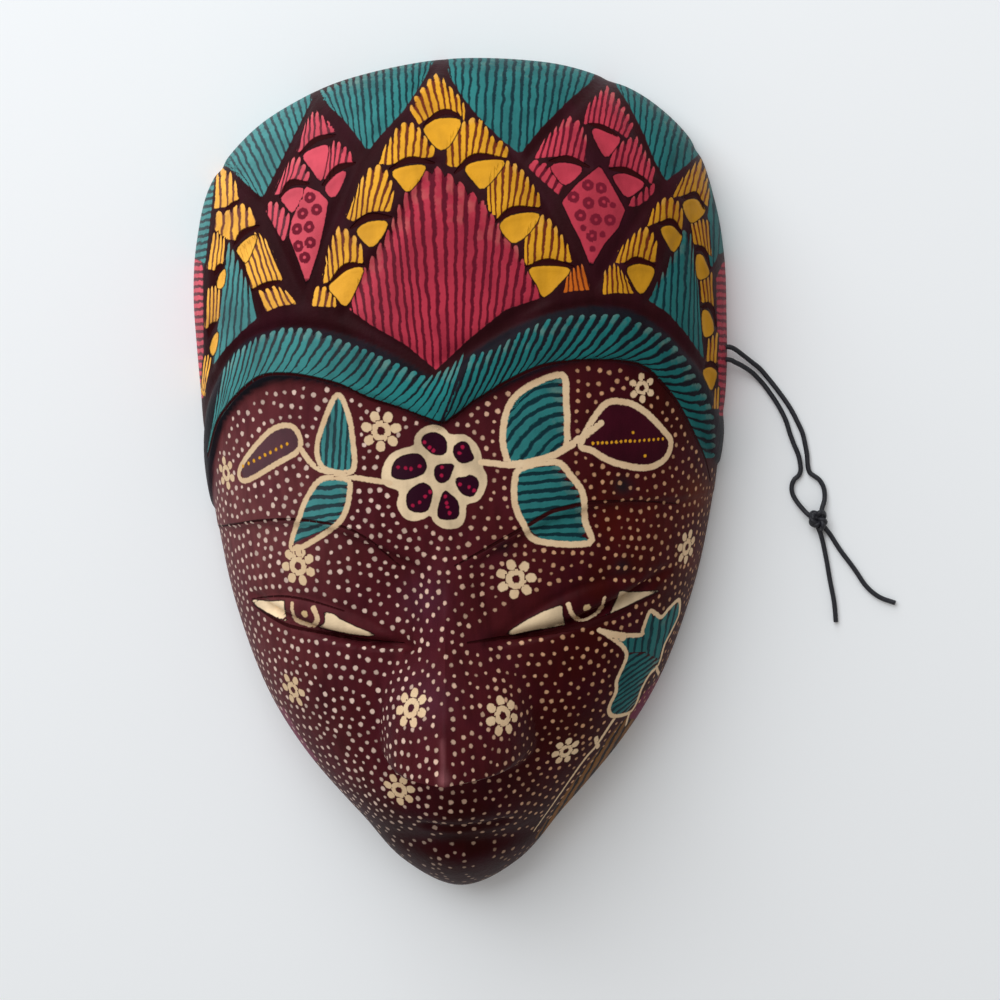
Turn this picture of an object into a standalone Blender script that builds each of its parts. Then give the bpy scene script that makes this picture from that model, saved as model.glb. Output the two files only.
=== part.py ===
"""Batik wall mask, carved from one block of light wood and hollowed behind, with its black cord.

The mask lies face up on its flat rim, as a loose mask does. Its crown points along +Y and its front
faces +Z. The origin is on the ground, under the middle of the mask's box. Lengths are in metres.
"""
import math

import bmesh
import bpy
import numpy as np
from mathutils import Matrix

# Whole mask
MASK_WIDTH = 0.1220
MASK_LENGTH = 0.1930
FOREHEAD_HEIGHT = 0.0405
NOSE_TIP_HEIGHT = 0.0560
# Slips of the carver's hand: the chin lies beside the face's centre line, and the carved lines climb
# to the right by this share of the distance out.
CHIN_SWING = 0.0052
LINE_CLIMB = 0.027

# Hollow back
RIM_WALL = 0.0078
FRONT_WALL = 0.0085

# Depth of the carving, square to the surface
CROWN_STEP = 0.0013
DIADEM_SWELL = 0.0009
DIADEM_GROOVE = 0.0007
LATTICE_DEPTH = 0.0009
LATTICE_WIDTH = 0.0030
BROW_STEP = 0.0011
EYE_SLIT = 0.0030
EYEBALL_SWELL = 0.0007
LID_CREASE = 0.0005
MOUTH_SLIT = 0.0012
# Share of the carving's depth that is left where the mask's side stands upright
WALL_CARVING = 0.35

# Cord, the two holes that it is threaded through, and its knot
CORD_DIAMETER = 0.0011
CORD_CLEARANCE = 0.0008
HOLE_DIAMETER = CORD_DIAMETER + CORD_CLEARANCE
HOLE_SPACING = 0.0029
HOLE_HEIGHT = 0.0042
HOLES_Y = 0.0275
KNOT_LENGTH = 0.0050
KNOT_WIDTH = 0.0042
KNOT_HEIGHT = 0.0034
KNOT_TURN = math.radians(12)
GROUND_GAP = 0.0001
KNOT_PLACE = (0.0810, -0.0119, KNOT_HEIGHT / 2 + GROUND_GAP)

# Outline from the top of the crown down the right side to the chin: shares of half the width and
# of half the length.
HALF_OUTLINE = (
    (0.000, 1.000), (0.353, 0.976), (0.582, 0.928), (0.758, 0.862), (0.906, 0.757), (0.973, 0.625),
    (0.999, 0.500), (1.000, 0.367), (0.992, 0.202), (0.978, 0.069), (0.949, -0.087),
    (0.882, -0.280), (0.770, -0.478), (0.621, -0.637), (0.393, -0.811), (0.220, -0.935), (0.000, -1.000),
)
CROWN_CORNER = 4
CHIN_CORNER = 15
# The jaw swings aside below this share of the half length.
SWING_START = 0.25

# The domed front: how square its sections are, and its height from chin to crown as shares.
DOME_SHOULDER = 2.7
DOME_CROWN = 2.2
DOME_HEIGHTS = (
    (-1.00, 1.00), (-0.84, 1.06), (-0.72, 1.12), (-0.55, 1.06), (-0.30, 1.00), (0.00, 1.00),
    (0.35, 1.00), (0.62, 1.05), (0.84, 1.12), (1.00, 1.16),
)
# Soft forms of the face: share of the forehead's height, then place and reach out and up, as shares of
# the half width and of the half length.
FACE_FORMS = {
    "chin": (0.055, 0.00, -0.885, 0.17, 0.075),
    "fold over the chin": (-0.060, 0.00, -0.815, 0.26, 0.035),
    "upper lip": (0.040, 0.00, -0.740, 0.19, 0.040),
    "lower lip": (0.024, 0.00, -0.797, 0.13, 0.022),
    "eye socket": (-0.040, 0.24, -0.235, 0.16, 0.110),
    "cheek": (0.030, 0.47, -0.470, 0.20, 0.140),
}

# Nose: a wedge with a sharp ridge, whose foot widens to the wings.
NOSE_BRIDGE = -0.085
NOSE_TIP = -0.610
NOSE_FOOT = 0.905
NOSE_HALF_WIDTH = 0.276
NOSE_WIDTHS = (
    (-0.70, 1.00), (-0.50, 1.00), (-0.42, 0.92), (-0.34, 0.66), (-0.22, 0.46), (-0.085, 0.34), (0.00, 0.30),
)

# Carved lines: share of the half width out from the centre line, share of the half length up.
DIADEM_LOWER = (
    (0.00, 0.166), (0.16, 0.223), (0.33, 0.265), (0.49, 0.289), (0.61, 0.287), (0.77, 0.235),
    (0.845, 0.185), (0.905, 0.107), (0.96, -0.001), (1.05, -0.191),
)
DIADEM_UPPER = (
    (0.00, 0.270), (0.13, 0.325), (0.30, 0.379), (0.46, 0.405), (0.59, 0.407), (0.73, 0.375),
    (0.845, 0.302), (0.935, 0.209), (0.99, 0.105), (1.05, -0.021),
)
BROW_LINE = (
    (0.08, -0.152), (0.26, -0.095), (0.41, -0.054), (0.53, -0.040), (0.68, -0.037), (0.83, -0.048),
    (1.00, -0.072),
)
EYE_LOWER = (
    (0.135, -0.330), (0.30, -0.319), (0.44, -0.302), (0.58, -0.274), (0.68, -0.246), (0.765, -0.215),
)
EYE_UPPER = (
    (0.135, -0.330), (0.25, -0.288), (0.38, -0.242), (0.50, -0.216), (0.62, -0.206), (0.765, -0.215),
)
MOUTH_LINE = -0.775
MOUTH_HALF_WIDTH = 0.19

# Carved corners of the crown's lattice, in shares as above but with the sign of their side.
LATTICE_POINTS = {
    "apex": (0.000, 0.975),
    "left notch": (-0.262, 0.763),
    "left foot": (-0.466, 0.468),
    "right notch": (0.326, 0.727),
    "right foot": (0.566, 0.454),
    "inner top": (0.026, 0.741),
    "inner left": (-0.315, 0.430),
    "inner right": (0.381, 0.430),
    "inner foot": (0.000, 0.300),
    "left tip": (-0.461, 0.925),
    "left side": (-0.617, 0.685),
    "right tip": (0.600, 0.925),
    "right side": (0.801, 0.676),
    "left peak": (-0.905, 0.810),
    "right peak": (0.930, 0.760),
    "left panel top": (-0.785, 0.621),
    "left panel in": (-0.662, 0.439),
    "left panel out": (-0.874, 0.329),
    "right panel top": (0.887, 0.570),
    "right panel in": (0.749, 0.412),
    "right panel out": (0.927, 0.271),
}
LATTICE_LINES = (
    ("apex", "left notch"), ("left notch", "left foot"), ("apex", "right notch"),
    ("right notch", "right foot"), ("inner top", "inner left"), ("inner top", "inner right"),
    ("inner left", "inner foot"), ("inner right", "inner foot"), ("left tip", "left notch"),
    ("left tip", "left side"), ("left side", "left foot"), ("right tip", "right notch"),
    ("right tip", "right side"), ("right side", "right foot"), ("left peak", "left side"),
    ("right peak", "right side"), ("left panel top", "left panel in"),
    ("left panel top", "left panel out"), ("right panel top", "right panel in"),
    ("right panel top", "right panel out"),
)

# Height of the cord's centre line where it lies on the ground
CORD_LOW = CORD_DIAMETER / 2 + GROUND_GAP
# Routes of the cord's lengths. The two strands start inside the hollow, where the cord turns back
# from one hole to the other, and run to the knot; the tails lie beyond it.
CORD_ROUTES = {
    "cord_strand_upper": (
        (0.0482, 0.0282, 0.0042), (0.0486, 0.0286, 0.0042), (0.0495, 0.02895, 0.0042),
        (0.0560, 0.02895, 0.0042), (0.0614, 0.02895, 0.0042), (0.0632, 0.0283, 0.0037),
        (0.0650, 0.0268, 0.0027), (0.0668, 0.0252, 0.0017), (0.0686, 0.0236, 0.0010),
        (0.0702, 0.0216, CORD_LOW), (0.0717, 0.0196, CORD_LOW), (0.0731, 0.0176, CORD_LOW),
        (0.0745, 0.0155, CORD_LOW), (0.0758, 0.0132, CORD_LOW), (0.0769, 0.0108, CORD_LOW),
        (0.0779, 0.0084, CORD_LOW), (0.0784, 0.0060, CORD_LOW), (0.0788, 0.0033, CORD_LOW),
        (0.0789, 0.0008, CORD_LOW), (0.0793, -0.0008, CORD_LOW), (0.0802, -0.0016, CORD_LOW),
        (0.0815, -0.0027, CORD_LOW), (0.0824, -0.0046, CORD_LOW), (0.0825, -0.0070, 0.0009),
        (0.0818, -0.0093, 0.0014),
    ),
    "cord_strand_lower": (
        (0.0482, 0.0268, 0.0042), (0.0486, 0.0264, 0.0042), (0.0495, 0.02605, 0.0042),
        (0.0560, 0.02605, 0.0042), (0.0614, 0.02605, 0.0042), (0.0632, 0.0253, 0.0037),
        (0.0650, 0.0242, 0.0026), (0.0668, 0.0228, 0.0016), (0.0682, 0.0213, 0.0010),
        (0.0695, 0.0197, CORD_LOW), (0.0708, 0.0178, CORD_LOW), (0.0720, 0.0159, CORD_LOW),
        (0.0732, 0.0137, CORD_LOW), (0.0743, 0.0111, CORD_LOW), (0.0750, 0.0085, CORD_LOW),
        (0.0759, 0.0058, CORD_LOW), (0.0768, 0.0034, CORD_LOW), (0.0772, 0.0012, CORD_LOW),
        (0.0772, -0.0004, CORD_LOW), (0.0767, -0.0015, CORD_LOW), (0.0757, -0.0024, CORD_LOW),
        (0.0751, -0.0039, CORD_LOW), (0.0753, -0.0058, CORD_LOW), (0.0764, -0.0078, 0.0009),
        (0.0782, -0.0100, 0.0014),
    ),
    "cord_tail_left": (
        (0.0813, -0.0149, 0.0012), (0.0818, -0.0170, CORD_LOW), (0.0825, -0.0210, CORD_LOW),
        (0.0832, -0.0260, CORD_LOW), (0.0840, -0.0311, CORD_LOW), (0.0843, -0.0358, CORD_LOW),
    ),
    "cord_tail_right": (
        (0.0827, -0.0141, 0.0012), (0.0837, -0.0156, CORD_LOW), (0.0857, -0.0190, CORD_LOW),
        (0.0888, -0.0235, CORD_LOW), (0.0914, -0.0276, CORD_LOW), (0.0943, -0.0302, CORD_LOW),
        (0.0979, -0.0317, CORD_LOW),
    ),
}

# Mesh fineness
CURVE_STEPS = 24
GRID_COLUMNS = 210
GRID_ROWS = 320
RIM_CROWDING = 0.85
MASK_TRIANGLES = 7370
HOLLOW_SEGMENTS = 40
HOLLOW_RINGS = 20
HOLE_SEGMENTS = 12
KNOT_SEGMENTS = 16
KNOT_RINGS = 8
SKIRT_DEPTH = 0.003
CORD_STEP = 2 * CORD_DIAMETER
CORD_SEGMENTS = 2

HALF_WIDTH = MASK_WIDTH / 2
HALF_LENGTH = MASK_LENGTH / 2


def eased(value):
    """Ease a value from 0 to 1 between 0 and 1, level at both ends."""
    part = np.clip(value, 0.0, 1.0)
    return part * part * (3 - 2 * part)


def bell(distance, width):
    """Give 1 at distance 0 and fade to nothing about two widths away."""
    return np.exp(-((distance / width) ** 2))


def through(stations, place):
    """Read a smooth curve through stations (place, value) at the given places."""
    at = np.array([station[0] for station in stations])
    value = np.array([station[1] for station in stations])
    slope = np.gradient(value, at)
    place = np.clip(place, at[0], at[-1])
    left = np.clip(np.searchsorted(at, place, side="right") - 1, 0, len(at) - 2)
    span = at[left + 1] - at[left]
    part = (place - at[left]) / span
    rest = 1 - part
    return (
        value[left] * rest * rest * (1 + 2 * part)
        + value[left + 1] * part * part * (1 + 2 * rest)
        + slope[left] * span * part * rest * rest
        - slope[left + 1] * span * part * part * rest
    )


def curved(line):
    """Draw a smooth curve through the points between a line's first and last."""
    points = []
    for before, start, end, after in zip(line, line[1:], line[2:], line[3:]):
        for part in np.arange(CURVE_STEPS) / CURVE_STEPS:
            points.append(
                start
                + part / 2 * (end - before)
                + part**2 * (before - 2.5 * start + 2 * end - after / 2)
                + part**3 * (1.5 * (start - end) + (after - before) / 2)
            )
    points.append(line[-2])
    return np.array(points)


def half_outline():
    """Give the outline's right half as dense points, top to chin, before the jaw swings."""
    knots = np.array(HALF_OUTLINE) * (HALF_WIDTH, HALF_LENGTH)
    mirror = knots * (-1, 1)
    return curved(np.vstack([mirror[1], knots, mirror[-2]]))


def swung(points):
    """Swing the jaw's plan points off the centre line, most at the chin, and let the crown climb."""
    x, y = points.T
    down = np.clip((SWING_START * HALF_LENGTH - y) / ((1 + SWING_START) * HALF_LENGTH), 0.0, 1.0)
    return np.column_stack([x - CHIN_SWING * down, y + LINE_CLIMB * x * eased(y / HALF_LENGTH)])


def outline_reach():
    """Give the outline as rising angles about the origin and the distance to it at each."""
    right = half_outline()
    ring = swung(np.vstack([right, (right * (-1, 1))[::-1]]))
    angle = np.arctan2(ring[:, 1], ring[:, 0])
    order = np.argsort(angle)
    angle, reach = angle[order], np.hypot(*ring.T)[order]
    return (
        np.concatenate([angle[-3:] - 2 * math.pi, angle, angle[:3] + 2 * math.pi]),
        np.concatenate([reach[-3:], reach, reach[:3]]),
    )


def along(line, part):
    """Read points at the given parts, from 0 to 1, of a polyline's length."""
    steps = np.hypot(*np.diff(line, axis=0).T)
    run = np.concatenate([[0.0], np.cumsum(steps)]) / steps.sum()
    return np.column_stack([np.interp(part, run, line[:, axis]) for axis in range(2)])


def plan_grid(across, up):
    """Lay grid places, from 0 to 1 across and up, into the outline with a straight centre column."""
    right = half_outline()
    corner, chin = CROWN_CORNER * CURVE_STEPS, CHIN_CORNER * CURVE_STEPS
    flip = np.array((-1, 1))
    top = swung(np.vstack([(right[: corner + 1] * flip)[::-1], right[1 : corner + 1]]))
    bottom = swung(np.vstack([right[chin:] * flip, right[chin:-1][::-1]]))
    side = right[corner : chin + 1][::-1]
    left_side, right_side = swung(side * flip), swung(side)

    def blended(s, t):
        column, row = s[:, None], t[:, None]
        place = (1 - row) * along(bottom, s) + row * along(top, s)
        place += (1 - column) * along(left_side, t) + column * along(right_side, t)
        place -= (1 - row) * ((1 - column) * bottom[0] + column * bottom[-1])
        return place - row * ((1 - column) * top[0] + column * top[-1])

    place = blended(across, up)
    middle = blended(np.full_like(up, 0.5), up)[:, 0]
    place[:, 0] -= eased(np.minimum(up, 1 - up) / 0.12) * (1 - np.abs(2 * across - 1)) * middle
    return place


def nose_section(side, high):
    """Give the nose's cross-section, from 1 at the ridge to 0 at its foot."""
    wing = eased((-0.36 - high) / 0.14)
    plane = np.clip(1 - side, 0.0, 1.0)
    rounded = np.clip(1 - 0.60 * side - 0.40 * np.clip(side, 0.0, 1.2) ** 7, 0.0, 1.0)
    under = NOSE_TIP - 0.012 + 0.055 * np.clip(side, 0.0, 1.0) ** 5
    return ((1 - wing) * plane + wing * rounded) * eased((high - under) / 0.030 + 0.55)


def face_form(x, y):
    """Give the height of the uncarved front at plan points: dome, nose, lips, chin and sockets."""
    angles, reaches = outline_reach()
    share = np.clip(np.hypot(x, y) / np.interp(np.arctan2(y, x), angles, reaches), 0.0, 1.0)
    out = np.abs(x) / HALF_WIDTH
    high = y / HALF_LENGTH
    dome = (1 - share**DOME_SHOULDER) ** (1 / DOME_CROWN) * through(DOME_HEIGHTS, high)
    for swell, place_out, place_up, reach_out, reach_up in FACE_FORMS.values():
        dome += swell * bell(out - place_out, reach_out) * bell(high - place_up, reach_up)
    drop = np.clip((NOSE_BRIDGE - high) / (NOSE_BRIDGE - NOSE_TIP), 0.0, 1.0)
    rise = (NOSE_TIP_HEIGHT - NOSE_FOOT * FOREHEAD_HEIGHT) * drop**1.25
    side = out / (NOSE_HALF_WIDTH * through(NOSE_WIDTHS, high))
    return FOREHEAD_HEIGHT * dome + rise * nose_section(side, high)


def above_line(stations, x, y):
    """Give the distance in metres above a carved line, mirrored about the centre line."""
    out = np.abs(x) / HALF_WIDTH
    step = 0.01
    slope = (through(stations, out + step) - through(stations, out - step)) / (2 * step)
    slope = slope * HALF_LENGTH / HALF_WIDTH
    return (y - LINE_CLIMB * x - through(stations, out) * HALF_LENGTH) / np.sqrt(1 + slope**2)


def lattice_distance(start, end, x, y):
    """Give the distance in metres from plan points to the lattice line between two named corners."""
    (ax, ay), (bx, by) = LATTICE_POINTS[start], LATTICE_POINTS[end]
    ax, bx = ax * HALF_WIDTH, bx * HALF_WIDTH
    ay, by = ay * HALF_LENGTH + LINE_CLIMB * ax, by * HALF_LENGTH + LINE_CLIMB * bx
    part = ((x - ax) * (bx - ax) + (y - ay) * (by - ay)) / ((bx - ax) ** 2 + (by - ay) ** 2)
    part = np.clip(part, 0.0, 1.0)
    return np.hypot(x - ax - part * (bx - ax), y - ay - part * (by - ay))


def crown_carving(x, y):
    """Give the depth of the crown's step, its diadem and its lattice at plan points."""
    above_face = above_line(DIADEM_LOWER, x, y)
    above_band = above_line(DIADEM_UPPER, x, y)
    band = np.clip(above_face / np.maximum(above_face - above_band, 1e-6), 0.0, 1.0)
    relief = CROWN_STEP * eased(above_face / 0.0008 + 0.5)
    relief += DIADEM_SWELL * 4 * band * (1 - band)
    relief -= DIADEM_GROOVE * bell(above_band, 0.0011)
    nearest = np.min([lattice_distance(start, end, x, y) for start, end in LATTICE_LINES], axis=0)
    return relief - LATTICE_DEPTH * bell(nearest, LATTICE_WIDTH / 2)


def face_carving(x, y):
    """Give the depth of the brow's edge, the eyes and the mouth at plan points."""
    out = np.abs(x) / HALF_WIDTH
    below_brow = -above_line(BROW_LINE, x, y)
    brow_ends = eased((out - 0.06) / 0.10) * eased((1.02 - out) / 0.2)
    brow = eased(below_brow / 0.0009 + 0.5) * bell(np.maximum(below_brow, 0.0), 0.0085)
    relief = -BROW_STEP * brow_ends * brow

    inner, outer = EYE_LOWER[0][0] - 0.02, EYE_LOWER[-1][0] + 0.02
    taper = np.clip(4 * (out - inner) * (outer - out) / (outer - inner) ** 2, 0.0, 1.0)
    above_slit = above_line(EYE_LOWER, x, y)
    above_lid = above_line(EYE_UPPER, x, y)
    slit = np.where(above_slit > 0, bell(above_slit, 0.0019), eased(1 + above_slit / 0.0014))
    opening = np.clip(above_slit / np.maximum(above_slit - above_lid, 1e-6), 0.0, 1.0)
    relief -= EYE_SLIT * taper**0.6 * slit
    relief += EYEBALL_SWELL * taper * 4 * opening * (1 - opening)
    relief -= LID_CREASE * taper**0.5 * bell(above_lid, 0.0009)

    mouth = y - MOUTH_LINE * HALF_LENGTH - 0.0012 * (out / MOUTH_HALF_WIDTH) ** 2
    return relief - MOUTH_SLIT * bell(mouth, 0.0009) * eased((MOUTH_HALF_WIDTH - out) / 0.06)


def front_points(plan):
    """Lift plan points onto the carved front."""
    x, y = plan.T
    probe = 0.0002
    slope_x = (face_form(x + probe, y) - face_form(x - probe, y)) / (2 * probe)
    slope_y = (face_form(x, y + probe) - face_form(x, y - probe)) / (2 * probe)
    normal = np.column_stack([-slope_x, -slope_y, np.ones_like(x)])
    normal /= np.linalg.norm(normal, axis=1)[:, None]
    depth = crown_carving(x, y) + face_carving(x, y)
    depth *= WALL_CARVING + (1 - WALL_CARVING) * normal[:, 2]
    return np.column_stack([x, y, face_form(x, y)]) + normal * depth[:, None]


def new_material(name, colour, roughness):
    """Make a plain finish."""
    material = bpy.data.materials.new(name)
    material.use_nodes = True
    shader = material.node_tree.nodes["Principled BSDF"]
    shader.inputs["Base Color"].default_value = (*colour, 1.0)
    shader.inputs["Roughness"].default_value = roughness
    shader.inputs["Metallic"].default_value = 0.0
    return material


def new_object(name, bm, collection, material=None):
    """Turn a bmesh into an object in a collection."""
    mesh = bpy.data.meshes.new(name)
    bm.to_mesh(mesh)
    bm.free()
    thing = bpy.data.objects.new(name, mesh)
    collection.objects.link(thing)
    if material:
        mesh.materials.append(material)
    return thing


def new_cutter(name, bm, collection):
    """Turn a bmesh into a cutter, which shows as wire only."""
    thing = new_object(name, bm, collection)
    thing.display_type = "WIRE"
    thing.hide_render = True
    return thing


def cut(thing, cutter):
    """Cut one object by another."""
    boolean = thing.modifiers.new(cutter.name, "BOOLEAN")
    boolean.operation = "DIFFERENCE"
    boolean.solver = "EXACT"
    boolean.object = cutter


def build_block(collection, wood):
    """Build the carved front as a closed block that reaches a little below the ground."""
    bm = bmesh.new()
    bmesh.ops.create_grid(bm, x_segments=GRID_COLUMNS, y_segments=GRID_ROWS, size=1.0)
    place = np.array([vertex.co[:2] for vertex in bm.verts]) / 2 + 0.5
    place -= RIM_CROWDING * np.sin(2 * math.pi * place) / (2 * math.pi)
    for vertex, point in zip(bm.verts, front_points(plan_grid(place[:, 0], place[:, 1]))):
        vertex.co = point
    rim = [edge for edge in bm.edges if edge.is_boundary]
    skirt = bmesh.ops.extrude_edge_only(bm, edges=rim)["geom"]
    for vertex in (item for item in skirt if isinstance(item, bmesh.types.BMVert)):
        vertex.co.z = -SKIRT_DEPTH
    bmesh.ops.holes_fill(bm, edges=[edge for edge in bm.edges if edge.is_boundary])
    bmesh.ops.recalc_face_normals(bm, faces=bm.faces)
    bmesh.ops.triangulate(bm, faces=bm.faces)
    count = len(bm.faces)
    block = new_object("mask", bm, collection, wood)
    thin = block.modifiers.new("fewer faces where it is plain", "DECIMATE")
    thin.ratio = MASK_TRIANGLES / count
    return block


def build_hollow(collection):
    """Build the cutter for the hollow: the outline inside its wall, domed under the front."""
    angles, reaches = outline_reach()
    bm = bmesh.new()
    bmesh.ops.create_uvsphere(bm, u_segments=HOLLOW_SEGMENTS, v_segments=HOLLOW_RINGS, radius=1.0)
    for vertex in bm.verts:
        flat = max(math.hypot(vertex.co.x, vertex.co.y), 1e-9)
        reach = np.interp(math.atan2(vertex.co.y, vertex.co.x), angles, reaches) - RIM_WALL
        scale = reach * flat ** (2 / DOME_SHOULDER) / flat
        high = (FOREHEAD_HEIGHT - FRONT_WALL) * max(vertex.co.z, 0.0) ** (2 / DOME_CROWN)
        low = 2 * SKIRT_DEPTH * min(vertex.co.z, 0.0)
        vertex.co = (vertex.co.x * scale, vertex.co.y * scale, high + low)
    bmesh.ops.recalc_face_normals(bm, faces=bm.faces)
    return new_cutter("hollow", bm, collection)


def build_ground(collection):
    """Build the slab that cuts the rim flat at the ground."""
    bm = bmesh.new()
    bmesh.ops.create_cube(bm, size=1.0)
    slab = 4 * SKIRT_DEPTH
    bmesh.ops.scale(bm, vec=(1.5 * MASK_WIDTH, 1.5 * MASK_LENGTH, slab), verts=bm.verts)
    bmesh.ops.translate(bm, vec=(0, 0, -slab / 2), verts=bm.verts)
    return new_cutter("ground", bm, collection)


def build_drill(collection, hole_y):
    """Build the drill for one cord hole through the right wall."""
    bm = bmesh.new()
    radius = HOLE_DIAMETER / 2
    bmesh.ops.create_cone(
        bm, cap_ends=True, segments=HOLE_SEGMENTS, radius1=radius, radius2=radius, depth=4 * RIM_WALL
    )
    bmesh.ops.rotate(bm, matrix=Matrix.Rotation(math.pi / 2, 3, "Y"), verts=bm.verts)
    bmesh.ops.translate(bm, vec=(HALF_WIDTH, hole_y, HOLE_HEIGHT), verts=bm.verts)
    return new_cutter("cord_drill", bm, collection)


def build_cord(collection, material, name, route):
    """Build a length of cord as a tube along its route."""
    knots = np.array(route)
    line = curved(np.vstack([2 * knots[0] - knots[1], knots, 2 * knots[-1] - knots[-2]]))
    run = np.concatenate([[0.0], np.cumsum(np.linalg.norm(np.diff(line, axis=0), axis=1))])
    places = np.linspace(0.0, run[-1], round(run[-1] / CORD_STEP) + 1)
    points = np.column_stack([np.interp(places, run, line[:, axis]) for axis in range(3)])

    curve = bpy.data.curves.new(name, "CURVE")
    curve.dimensions = "3D"
    curve.bevel_depth = CORD_DIAMETER / 2
    curve.bevel_resolution = CORD_SEGMENTS
    curve.use_fill_caps = True
    spline = curve.splines.new("POLY")
    spline.points.add(len(points) - 1)
    for point, place in zip(spline.points, points):
        point.co = (*place, 1.0)
    curve.materials.append(material)
    collection.objects.link(bpy.data.objects.new(name, curve))


def build_knot(collection, material):
    """Build the knot as one rounded lump where it lies on the ground."""
    bm = bmesh.new()
    bmesh.ops.create_uvsphere(bm, u_segments=KNOT_SEGMENTS, v_segments=KNOT_RINGS, radius=0.5)
    bmesh.ops.scale(bm, vec=(KNOT_WIDTH, KNOT_LENGTH, KNOT_HEIGHT), verts=bm.verts)
    bmesh.ops.rotate(bm, matrix=Matrix.Rotation(KNOT_TURN, 3, "Z"), verts=bm.verts)
    bmesh.ops.translate(bm, vec=KNOT_PLACE, verts=bm.verts)
    knot = new_object("cord_knot", bm, collection, material)
    knot.data.shade_smooth()


def main():
    """Build the mask and its cord."""
    for thing in list(bpy.data.objects):
        bpy.data.objects.remove(thing)
    parts = bpy.data.collections.new("batik_wall_mask")
    cutters = bpy.data.collections.new("cutters")
    bpy.context.scene.collection.children.link(parts)
    bpy.context.scene.collection.children.link(cutters)

    wood = new_material("batik_dyed_wood", (0.085, 0.022, 0.028), 0.42)
    mask = build_block(parts, wood)
    cut(mask, build_hollow(cutters))
    cut(mask, build_ground(cutters))
    for side in (1, -1):
        cut(mask, build_drill(cutters, HOLES_Y + side * HOLE_SPACING / 2))
    mask.data.shade_smooth()

    black = new_material("black_waxed_cord", (0.008, 0.008, 0.010), 0.6)
    build_knot(parts, black)
    for name, route in CORD_ROUTES.items():
        build_cord(parts, black, name, route)


main()
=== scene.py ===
"""Visual model of a carved wooden wall mask, dyed by the batik method, with its black hanging cord."""
import logging
import math
from collections.abc import Callable, Iterable, Sequence
from dataclasses import dataclass, field
from enum import Enum

import bmesh
import bpy
import numpy as np
from mathutils import Matrix, Vector
from mathutils.bvhtree import BVHTree
from mathutils.kdtree import KDTree


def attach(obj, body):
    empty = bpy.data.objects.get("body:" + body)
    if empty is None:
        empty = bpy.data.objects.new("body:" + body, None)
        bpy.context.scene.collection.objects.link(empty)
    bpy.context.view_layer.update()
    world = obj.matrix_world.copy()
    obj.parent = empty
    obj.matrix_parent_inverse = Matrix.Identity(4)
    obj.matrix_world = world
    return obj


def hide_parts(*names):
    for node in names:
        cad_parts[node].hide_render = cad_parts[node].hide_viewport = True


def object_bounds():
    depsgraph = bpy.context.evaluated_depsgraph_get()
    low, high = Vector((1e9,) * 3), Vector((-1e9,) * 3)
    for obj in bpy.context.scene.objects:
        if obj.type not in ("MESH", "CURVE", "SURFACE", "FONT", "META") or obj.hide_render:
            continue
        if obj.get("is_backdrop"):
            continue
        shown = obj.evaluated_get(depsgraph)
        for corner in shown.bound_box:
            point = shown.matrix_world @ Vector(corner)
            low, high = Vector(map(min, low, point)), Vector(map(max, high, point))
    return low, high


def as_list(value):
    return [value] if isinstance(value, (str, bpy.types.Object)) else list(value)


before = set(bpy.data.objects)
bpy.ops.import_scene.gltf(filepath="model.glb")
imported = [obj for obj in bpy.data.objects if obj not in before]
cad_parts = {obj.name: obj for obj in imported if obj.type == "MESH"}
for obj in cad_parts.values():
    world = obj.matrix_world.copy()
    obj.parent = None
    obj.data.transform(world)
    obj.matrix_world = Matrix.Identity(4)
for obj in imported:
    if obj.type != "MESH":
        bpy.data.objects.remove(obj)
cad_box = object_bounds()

log = logging.getLogger("batik_mask")
Array = np.ndarray
Points = Sequence[Sequence[float]]
Pair = tuple[float, float]
Triple = tuple[float, float, float]
MM = 0.001
SCREEN_WHITE = 255
SCREEN_GAMMA = 2.2


def linear(red: float, green: float, blue: float) -> Triple:
    """Turn a colour from 0 to 255 as a screen shows it into a linear one."""
    return tuple((part / SCREEN_WHITE) ** SCREEN_GAMMA for part in (red, green, blue))


def eased(value: Array) -> Array:
    """Ease a value from 0 to 1 between 0 and 1, level at both ends."""
    part = np.clip(value, 0.0, 1.0)
    return part * part * (3 - 2 * part)


def bell(distance: Array, width: float) -> Array:
    """Give 1 at distance 0 and fade to nothing about two widths away."""
    return np.exp(-((distance / width) ** 2))


def through(stations: Points, place: Array) -> Array:
    """Read a smooth curve through stations at the given places.

    Args:
        stations: Pairs of place and value, with rising places.
        place: Places to read at.

    Returns:
        The curve's values.
    """
    at = np.array([station[0] for station in stations])
    value = np.array([station[1] for station in stations])
    slope = np.gradient(value, at)
    place = np.clip(place, at[0], at[-1])
    left = np.clip(np.searchsorted(at, place, side="right") - 1, 0, len(at) - 2)
    span = at[left + 1] - at[left]
    part = (place - at[left]) / span
    rest = 1 - part
    return (
        value[left] * rest * rest * (1 + 2 * part)
        + value[left + 1] * part * part * (1 + 2 * rest)
        + slope[left] * span * part * rest * rest
        - slope[left + 1] * span * part * part * rest
    )


def curved(line: Points, steps: int = 8, closed: bool = False) -> Array:
    """Draw a smooth curve through points.

    Args:
        line: The points, in any number of dimensions.
        steps: Steps between two points.
        closed: Whether the curve runs back to its first point.

    Returns:
        The curve's points.
    """
    knots = np.array(line, dtype=float)
    if closed:
        knots = np.vstack([knots[-1], knots, knots[0], knots[1]])
    else:
        knots = np.vstack([2 * knots[0] - knots[1], knots, 2 * knots[-1] - knots[-2]])
    points = []
    for before, start, end, after in zip(knots, knots[1:], knots[2:], knots[3:]):
        for part in np.arange(steps) / steps:
            points.append(
                start
                + part / 2 * (end - before)
                + part**2 * (before - 2.5 * start + 2 * end - after / 2)
                + part**3 * (1.5 * (start - end) + (after - before) / 2)
            )
    points.append(knots[-2])
    return np.array(points)


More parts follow.
